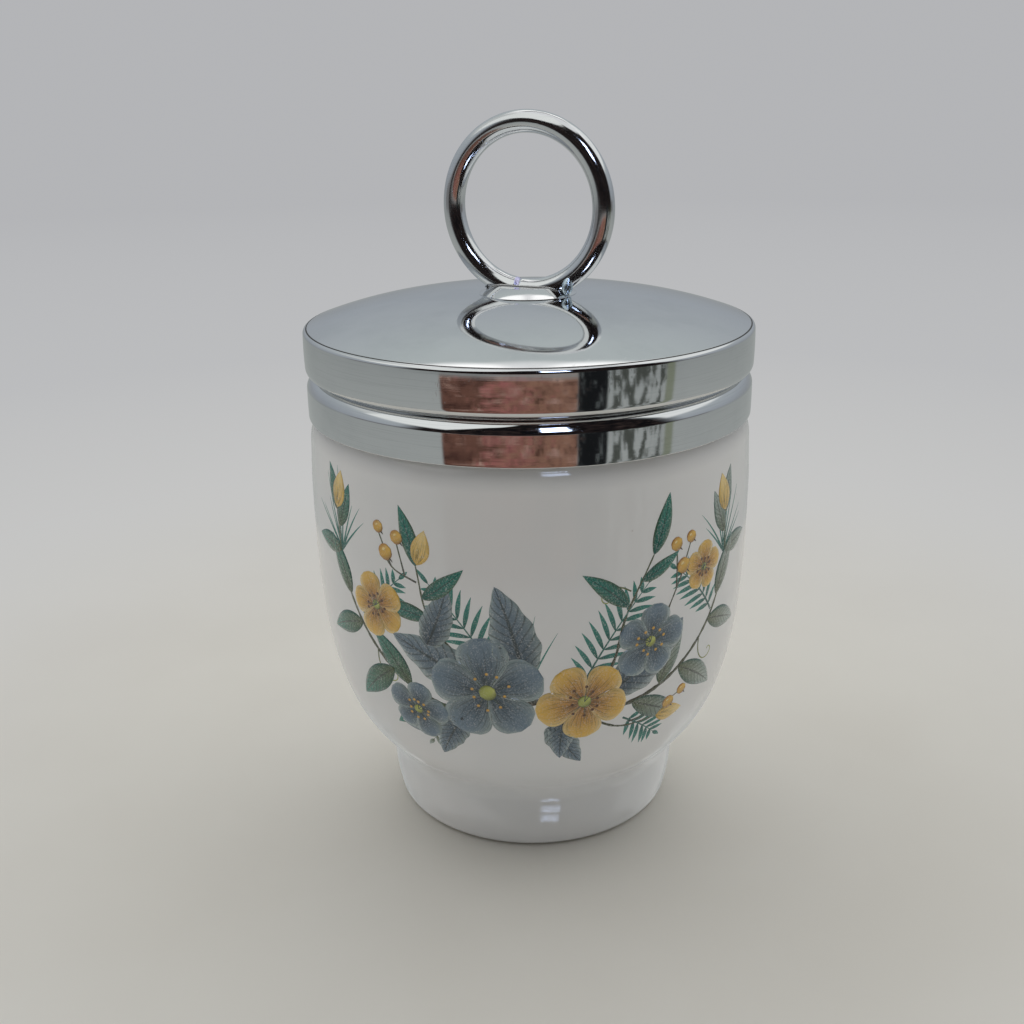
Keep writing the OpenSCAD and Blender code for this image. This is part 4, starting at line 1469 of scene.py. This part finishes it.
def floor_paper():
    """Pale paper that mirrors a little near the foot and fades into the backdrop; metal sees its middle."""
    material = bpy.data.materials.new("floor_paper")
    material.use_nodes = True
    material.node_tree.nodes.clear()
    shader = Shader(material.node_tree)
    path = material.node_tree.nodes.new("ShaderNodeLightPath").outputs
    place = shader.place()
    distance = shader.add("ShaderNodeVectorMath", {0: place}, out="Value", operation="LENGTH")
    clouds = shader.step(shader.noise(place, 25.0, 3.0, 0.5), 0.3, 0.7)
    paper = shader.mix(clouds, FLOOR, blend_colour(FLOOR, FLOOR_CLOUD, 0.25))
    paper = shader.mix(path["Is Diffuse Ray"], paper, FLOOR_BOUNCE)
    relief = shader.bump(shader.noise(place, 700.0, 4.0, 0.6), 0.12, 0.05 * MM)
    diffuse = shader.add("ShaderNodeBsdfDiffuse", {"Color": paper, "Normal": relief})
    sheen = shader.add("ShaderNodeBsdfGlossy", {"Color": (1.0, 1.0, 1.0, 1.0), "Roughness": 0.07})
    mirror = shader.add("ShaderNodeFresnel", {"IOR": 1.45})
    gleam = shader.times(path["Is Glossy Ray"], shader.step(distance, *FLOOR_GLEAM, 0.0, FLOOR_MIRROR))
    seen = shader.add("ShaderNodeMixShader", {0: shader.times(mirror, gleam), 1: diffuse, 2: sheen})
    wall_colours = [(0.0, WALL_NEAR), (0.1, WALL_NEAR), (0.3, WALL_MIDDLE), (0.9, WALL_FAR)]
    glow = shader.add("ShaderNodeEmission", {"Color": ramp(shader, distance, 0.0, 1.0, wall_colours)})
    far = shader.times(path["Is Camera Ray"], shader.step(distance, *FLOOR_FADE))
    seen = shader.add("ShaderNodeMixShader", {0: far, 1: seen, 2: glow})
    gone = shader.times(path["Is Glossy Ray"], shader.step(distance, *FLOOR_IN_METAL))
    clear = shader.add("ShaderNodeBsdfTransparent")
    seen = shader.add("ShaderNodeMixShader", {0: gone, 1: seen, 2: clear})
    shader.feed(material.node_tree.nodes.new("ShaderNodeOutputMaterial"), {"Surface": seen})
    return material


def make_floor():
    verts = [(0, 0, 0)]
    for r in FLOOR_RINGS:
        for j in range(FLOOR_SEGMENTS):
            a = 2 * pi * j / FLOOR_SEGMENTS
            verts.append((r / MM * cos(a), r / MM * sin(a), 0))
    faces = [(0, 1 + j, 1 + (j + 1) % FLOOR_SEGMENTS) for j in range(FLOOR_SEGMENTS)]
    for f in grid_faces(len(FLOOR_RINGS), FLOOR_SEGMENTS, False, True):
        faces.append(tuple(1 + v for v in f))
    floor = show("floor", verts, faces)
    floor.data.materials.append(floor_paper())


def make_camera():
    data = bpy.data.cameras.new("camera")
    data.lens = CAMERA_LENS
    data.sensor_width = 36
    data.clip_start = 0.01
    data.clip_end = 20
    camera = bpy.data.objects.new("camera", data)
    bpy.context.scene.collection.objects.link(camera)
    yaw = Matrix.Rotation(CAMERA_YAW, 3, "Z")
    right = yaw @ Vector((1, 0, 0))
    up = yaw @ Vector((0, sin(CAMERA_PITCH), cos(CAMERA_PITCH)))
    forward = yaw @ Vector((0, cos(CAMERA_PITCH), -sin(CAMERA_PITCH)))
    rolled_right = cos(CAMERA_ROLL) * right + sin(CAMERA_ROLL) * up
    rolled_up = -sin(CAMERA_ROLL) * right + cos(CAMERA_ROLL) * up
    basis = Matrix((rolled_right, rolled_up, -forward)).transposed().to_4x4()
    place = Matrix.Translation(Vector((0, -CAMERA_DISTANCE, CAMERA_HEIGHT)) * MM)
    camera.matrix_world = Matrix.Rotation(CAMERA_TURN, 4, "Z") @ place @ basis
    bpy.context.scene.camera = camera


# ---------------------------------------------------------------- the scene


def main():
    make_camera()
    make_world()
    make_floor()
    bpy.context.scene.view_settings.view_transform = "Standard"
    make_cup()
    make_collar()
    make_lid()
    make_boss()
    make_ring()
    make_solder()
    paint("rivet_washer", surface("washer_brass", brass))
    paint("collar_cement", surface("neck_cement", cement))
    print_spray()


main()
